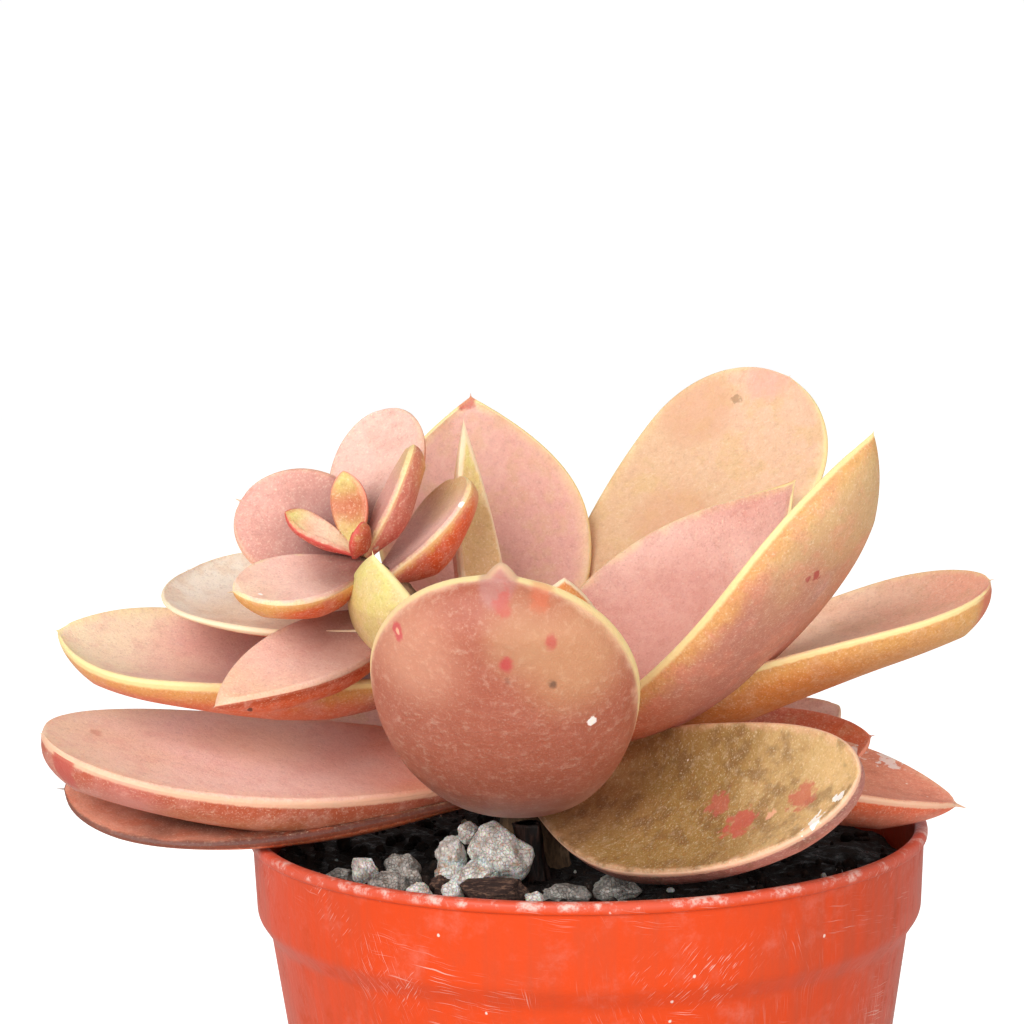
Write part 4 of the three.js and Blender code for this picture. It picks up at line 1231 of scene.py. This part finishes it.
grow(
    "tucked_right_leaf",
    "leaf_right_tucked",
    "old_leaf",
    dict(root=(-3.2, 0.4, 54.4), heading=7, climb=3, roll=25, long=27, wide=14.7, thick=3.2, sag=0.05)
    | dict(sway=-0.01, twist=-6, dish=0.08, widest=0.57, blunt=0.68, point=0.5),
    ("brick", "terracotta", "orange", "brown", "brick", "brick", "salmon", "orange", "tan"),
    dust=0.6,
)
grow(
    "far_right_leaf",
    "leaf_right_far",
    "old_leaf",
    dict(root=(-3.4, 0.9, 54.6), heading=23, climb=5, roll=15, long=27.5, wide=13, thick=3, sag=0.05)
    | dict(dish=0.08, blunt=0.7),
    ("brown", "terracotta", "pale rose", "brown", "brick", "terracotta", "peach", "orange", "brick"),
    under=("tucked_right_leaf",),
)

# Left whorl
# Two middle leaves that reach left under the crown: a boat-shaped one with a strong yellow rim and
# orange underside, and a thin taupe one above it.
grow(
    "mid_left_leaf",
    "leaf_left_mid",
    "middle_leaf",
    dict(root=(-9.4, -2.4, 62.8), heading=182.5, climb=6.5, roll=-13, long=33, wide=14, thick=4.6, sag=0)
    | dict(sway=-0.04, twist=-15, widest=0.7, blunt=0.78, point=0.3),
    ("mauve", "pink", "cream", "mauve", "orange", "salmon", "yellow cream", "gold", "rose"),
    glow=2.0,
    band=2.6,
    spots=[((14.0, 0.0, 1), 3.0, 8.0, 0.1, "#9a6258", 0.5)],
)
grow(
    "high_left_leaf",
    "leaf_left_high",
    "young_leaf",
    dict(root=(-13.6, -5.6, 67.6), heading=161, climb=9, roll=-4, faces=SHOULDER, long=20, wide=13.4)
    | dict(thick=1.5, sag=0, sway=-0.06, twist=4, dish=0.11, widest=0.75, blunt=0.45, point=0.3),
    ("dusty rose", "pale peach", "pale cream", "mauve", "terracotta", "salmon", "cream", "orange", "tan"),
)

# Back leaves
# One broad middle leaf stands behind the crown with a cream rim, and beside it a narrow one seen
# edge on, with a mauve side, an olive stripe and a yellow point.
grow(
    "tall_back_leaf",
    "leaf_back_tall",
    "middle_leaf",
    dict(root=(-5.4, 0.6, 60.4), heading=110, climb=63.5, roll=-6, long=26.4, wide=18.4, thick=4)
    | dict(sag=0.12, dish=0.08, widest=0.57, blunt=1, point=0.3),
    ("rose", "rose", "pale rose", "terracotta", "salmon", "amber", "yellow cream", "amber", "wheat"),
    glow=1.8,
    spots=[((26.2, -0.4, 1), 0.6, 0.5, 0.3, "#c8504a", 0.7)],
    grain=0.6,
)
grow(
    "narrow_leaf",
    "leaf_narrow",
    "middle_leaf",
    dict(root=(-6, -2.4, 58.8), heading=156, climb=81, roll=-36, long=24.3, wide=4, thick=3.1, sag=0.04)
    | dict(dish=0.1, widest=0.4, blunt=1.13, point=0.3),
    ("mauve", "wheat", "lime", "mauve", "salmon", "yellow cream", "cream", "gold", "tan"),
    glow=0.8,
    band=0.8,
)

# Crown
# The young leaves round the growing tip, small and thick, mauve above with pale ends and darker
# feet, where a patch of painted shade is laid over their own deeper tone, and orange-red below.
grow(
    "lowest_crown_leaf",
    "crown_leaf_front_low",
    "young_leaf",
    dict(root=(-13.6, -6.4, 67.4), heading=215, climb=-16, roll=-20, faces=CROWN, long=18, wide=7)
    | dict(thick=3.8, sag=0, sway=0.065, twist=15, dish=0.03, widest=0.46, blunt=0.97, point=0.3),
    ("mauve", "pale rose", "peach", "brick", "flame", "flame", "peach", "ember", "rose"),
    thin=0.22,
    glow=0.6,
    spots=[
        ((15.6, -1.2, -1), 0.12, 0.08, 0.2, "#5a2014", 0.9),
        ((14.2, 0.6, -1), 0.1, 0.06, 0.2, "#5a2014", 0.8),
        # Painted shade: a dark patch over the foot of the face.
        ((5.0, 0.0, 1), 2.0, 6.0, 0.1, "#7d463c", 0.6),
    ],
    line=0.15,
    band=1.2,
)
grow(
    "front_crown_leaf",
    "crown_leaf_front",
    "young_leaf",
    dict(root=(-16.7, -8.3, 72), heading=204, climb=-7, roll=-8, faces=CROWN, long=11, wide=7.2, thick=3)
    | dict(sag=0, twist=-5, dish=0.06, widest=0.55, blunt=0.67, point=0.5),
    ("dusty mauve", "pale rose", "pale peach", "ember", "flame", "gold", "yellow cream", "gold", "rose"),
    glow=0.5,
    thin=0.2,
    # The second spot is painted shade over the foot of the face.
    spots=[((9.2, -1.3, 1), 0.16, 0.06, 0.2, "#fff6ee", 0.9), ((1.5, 0.0, 1), 1.5, 4.0, 0.1, "#7d463c", 0.6)],
    line=0.2,
    band=0.9,
)
grow(
    "right_crown_leaf",
    "crown_leaf_right",
    "young_leaf",
    dict(root=(-16, -7.4, 70.8), heading=43, climb=42, roll=-19, faces=CROWN, long=11, wide=7.5)
    | dict(thick=3.1, sag=0.04, sway=0.015, twist=-2, dish=0.07, widest=0.73),
    ("mauve", "pale rose", "wheat", "ember", "flame", "gold", "yellow cream", "gold", "rose"),
    glow=0.5,
    thin=0.2,
    spots=[((7.7, 3.7, 1), 0.16, 0.06, 0.2, "#fff6ee", 0.9)],
    line=0.3,
    band=0.9,
)
grow(
    "inner_crown_leaf",
    "crown_leaf_inner",
    "young_leaf",
    dict(root=(-17.3, -7.4, 72.6), heading=25, climb=62, roll=-24, faces=CROWN, long=9.7, wide=4.3)
    | dict(thick=2.2, sag=0, sway=-0.015, twist=-12, dish=0.02, widest=0.58),
    ("mauve", "rose", "wheat", "red", "terracotta", "gold", "yellow cream", "terracotta", "rose"),
    glow=0.7,
    thin=0.18,
    line=0.3,
)
grow(
    "left_crown_leaf",
    "crown_leaf_left",
    "young_leaf",
    dict(root=(-17.2, -7.2, 73), heading=159, climb=19, roll=-35, faces=CROWN, long=11.4, wide=9.5)
    | dict(thick=2.5, sag=0, twist=14, dish=0.04, widest=0.48, point=0.6),
    ("plum", "dusty rose", "rose", "brick", "brick", "orange", "peach", "orange", "dusty mauve"),
    glow=0.8,
    thin=0.22,
    line=0.5,
    # Painted shade: a dark patch over the foot of the face.
    spots=[((2.5, 0.0, 1), 1.5, 5.0, 0.1, "#84524a", 0.65)],
)
grow(
    "back_crown_leaf",
    "crown_leaf_back",
    "young_leaf",
    dict(root=(-17.4, -7.4, 73), heading=78, climb=53, roll=-3, faces=CROWN, long=13.4, wide=8.5)
    | dict(thick=2.3, sag=0, twist=-2, dish=0.07, widest=0.58),
    ("plum", "pale rose", "pale rose", "brick", "ember", "orange", "peach", "orange", "dusty rose"),
    glow=0.8,
    thin=0.22,
    line=0.5,
    # Painted shade: a dark patch over the foot of the face.
    spots=[((2.0, 0.0, 1), 1.5, 5.0, 0.1, "#84524a", 0.5)],
)

# Bud
# The three youngest leaves, which still stand together in the middle: green at the foot, brownish
# pink on the face, and bright red along their edges.
grow(
    "bud_leaf_back",
    "bud",
    "bud_leaf",
    dict(root=(-18, -8.2, 73.2), heading=124, climb=80, roll=-5, faces=CROWN, long=6.2, wide=3.2)
    | dict(thick=1.1, sag=0.05, twist=3, dish=0.1, widest=0.58, blunt=0.75),
    ("lime", "clay", "lime", "lime", "brick", "orange", "salmon", "red", "ember"),
    glow=0.7,
    band=0.5,
    thin=0.14,
)
grow(
    "bud_leaf_left",
    "bud",
    "bud_leaf",
    dict(root=(-17.6, -8.3, 73), heading=183, climb=31, roll=-7, faces=CROWN, long=6.4, wide=2.8)
    | dict(thick=1.1, sag=0.01, sway=0.02, dish=0.06, widest=0.68, blunt=0.78),
    ("cream", "pale peach", "lime", "red", "red", "red", "red", "red", "salmon"),
    glow=0.9,
    band=0.6,
    thin=0.14,
)
grow(
    "bud_leaf_front",
    "bud",
    "bud_leaf",
    dict(root=(-17.8, -8, 72.7), heading=-69, climb=57, roll=-9, faces=CROWN, long=3.3, wide=2.4)
    | dict(thick=1.1, sag=0, dish=0.07, blunt=0.67),
    ("lime", "brick", "brick", "red", "brick", "brick", "red", "red", "lime"),
    glow=0.4,
    band=0.5,
    thin=0.12,
)

# Leaves behind
# The far side of the rosette, built to the same pattern: old leaves that lie over the rim, and
# middle ones above them.
grow(
    "high_behind_leaf",
    "leaf_behind_high",
    "middle_leaf",
    dict(root=(-7.2, -0.6, 61.6), heading=137, climb=20, long=22, wide=12, thick=2.8, sag=0.08)
    | dict(dish=0.1, blunt=0.8, point=0.4),
    ("mauve", "rose", "pale rose", "terracotta", "salmon", "amber", "cream", "amber", "tan"),
)
grow(
    "inner_behind_leaf",
    "leaf_behind_inner",
    "middle_leaf",
    dict(root=(-4.8, 0.8, 59.4), heading=72, climb=22, long=20, wide=13, thick=3, sag=0.08)
    | dict(dish=0.1, blunt=0.7, point=0.4),
    ("mauve", "rose", "peach", "terracotta", "salmon", "amber", "cream", "amber", "tan"),
)
grow(
    "right_behind_leaf",
    "leaf_behind_right",
    "old_leaf",
    dict(root=(-3.8, 0.8, 56), heading=58, climb=8, long=30, wide=16, thick=3.6)
    | dict(sag=0.06, dish=0.1, point=0.4),
    ("dusty rose", "peach", "tan", "brown", "terracotta", "salmon", "peach", "orange", "olive"),
    flecks=0.5,
    dust=0.4,
    under=("far_right_leaf", "tucked_right_leaf"),
)
grow(
    "middle_behind_leaf",
    "leaf_behind",
    "old_leaf",
    dict(root=(-4.8, 1.2, 55.4), heading=98, climb=6, long=30, wide=16, thick=3.6)
    | dict(sag=0.06, dish=0.1, point=0.4),
    ("dusty rose", "tan", "olive tan", "brown", "terracotta", "salmon", "peach", "orange", "olive"),
    flecks=0.5,
    dust=0.4,
)
grow(
    "left_behind_leaf",
    "leaf_behind_left",
    "old_leaf",
    dict(root=(-6.4, 0.2, 57.2), heading=152, climb=3, long=27, wide=14, thick=3.4)
    | dict(sag=0.05, dish=0.1, point=0.4),
    ("mauve", "rose", "tan", "brown", "terracotta", "salmon", "peach", "orange", "tan"),
    flecks=0.5,
    dust=0.4,
    under=("low_left_leaf", "mid_left_leaf"),
)

# Floor, light and camera
# A pale floor, one large soft light high in front on the left, a weaker one on the right and an even
# white sky. The camera stands above the crown and looks slightly down, as a hand-held one would, from
# about 20 cm.
FLOOR_SIZE = 3.0
FLOOR_GREY = "#e8e6e2"
FLOOR_GLOW = 0.75
SKY_LIGHT = 0.45
SKY_SEEN = 0.56
CAMERA_PLACE = (0.0, -195.1, 94.0)
CAMERA_YAW = -1.68
CAMERA_PITCH = 5.5
CAMERA_ROLL = -0.93
CAMERA_LENS = 85.22

floor_mesh = bpy.data.meshes.new("floor")
edge = FLOOR_SIZE / 2
floor_corners = [(-edge, -edge, 0), (edge, -edge, 0), (edge, edge, 0), (-edge, edge, 0)]
floor_mesh.from_pydata(floor_corners, [], [(0, 1, 2, 3)])
floor = bpy.data.objects.new("floor", floor_mesh)
bpy.context.scene.collection.objects.link(floor)
floor_look = {"Roughness": 0.8, "Base_Color": paint(FLOOR_GREY), "Emission_Color": (1, 1, 1, 1)}
floor_material, floor_tree, floor_shader = new_material("pale_floor", **floor_look)
seen = add(floor_tree, "ShaderNodeLightPath").outputs["Is Camera Ray"]
glow = maths(floor_tree, "MULTIPLY", seen, FLOOR_GLOW)
floor_tree.links.new(glow, floor_shader.inputs["Emission Strength"])
floor_mesh.materials.append(floor_material)


def softbox(name, place, aim, size, power):
    """A square area light at a place in metres, turned to face a point."""
    light = bpy.data.lights.new(name, "AREA")
    light.size = size
    light.energy = power
    lamp = bpy.data.objects.new(name, light)
    lamp.location = place
    away = np.array(place) - np.array(aim)
    lean = math.atan2(math.hypot(away[0], away[1]), away[2])
    lamp.rotation_euler = (lean, 0, math.atan2(away[0], -away[1]))
    bpy.context.scene.collection.objects.link(lamp)


softbox("key_light", (-0.24, -0.5, 0.36), (-0.005, 0, 0.05), 0.4, 3.35)
softbox("fill_light", (0.36, -0.45, 0.12), (0, 0, 0.05), 0.4, 1.25)

world = bpy.data.worlds.new("white_sky")
world.use_nodes = True
sky = world.node_tree
background = sky.nodes["Background"]
background.inputs["Color"].default_value = (1, 1, 1, 1)
camera_ray = add(sky, "ShaderNodeLightPath").outputs["Is Camera Ray"]
strength = maths(sky, "MULTIPLY_ADD", camera_ray, SKY_SEEN, SKY_LIGHT)
sky.links.new(strength, background.inputs["Strength"])
bpy.context.scene.world = world
bpy.context.scene.view_settings.view_transform = "Standard"

yaw, pitch, camera_roll = (math.radians(angle) for angle in (CAMERA_YAW, CAMERA_PITCH, CAMERA_ROLL))
forward = np.array([math.sin(yaw) * math.cos(pitch), math.cos(yaw) * math.cos(pitch), -math.sin(pitch)])
level = np.cross(forward, (0, 0, 1))
level /= np.linalg.norm(level)
upright = np.cross(level, forward)
right = math.cos(camera_roll) * level + math.sin(camera_roll) * upright
top = math.cos(camera_roll) * upright - math.sin(camera_roll) * level
camera_data = bpy.data.cameras.new("camera")
camera_data.lens = CAMERA_LENS
camera_data.clip_start = 0.01
camera = bpy.data.objects.new("camera", camera_data)
matrix = np.eye(4)
matrix[:3, 0], matrix[:3, 1], matrix[:3, 2], matrix[:3, 3] = right, top, -forward, np.array(CAMERA_PLACE) * MM
camera.matrix_world = matrix.T.tolist()
bpy.context.scene.collection.objects.link(camera)
bpy.context.scene.camera = camera

bpy.context.view_layer.update()
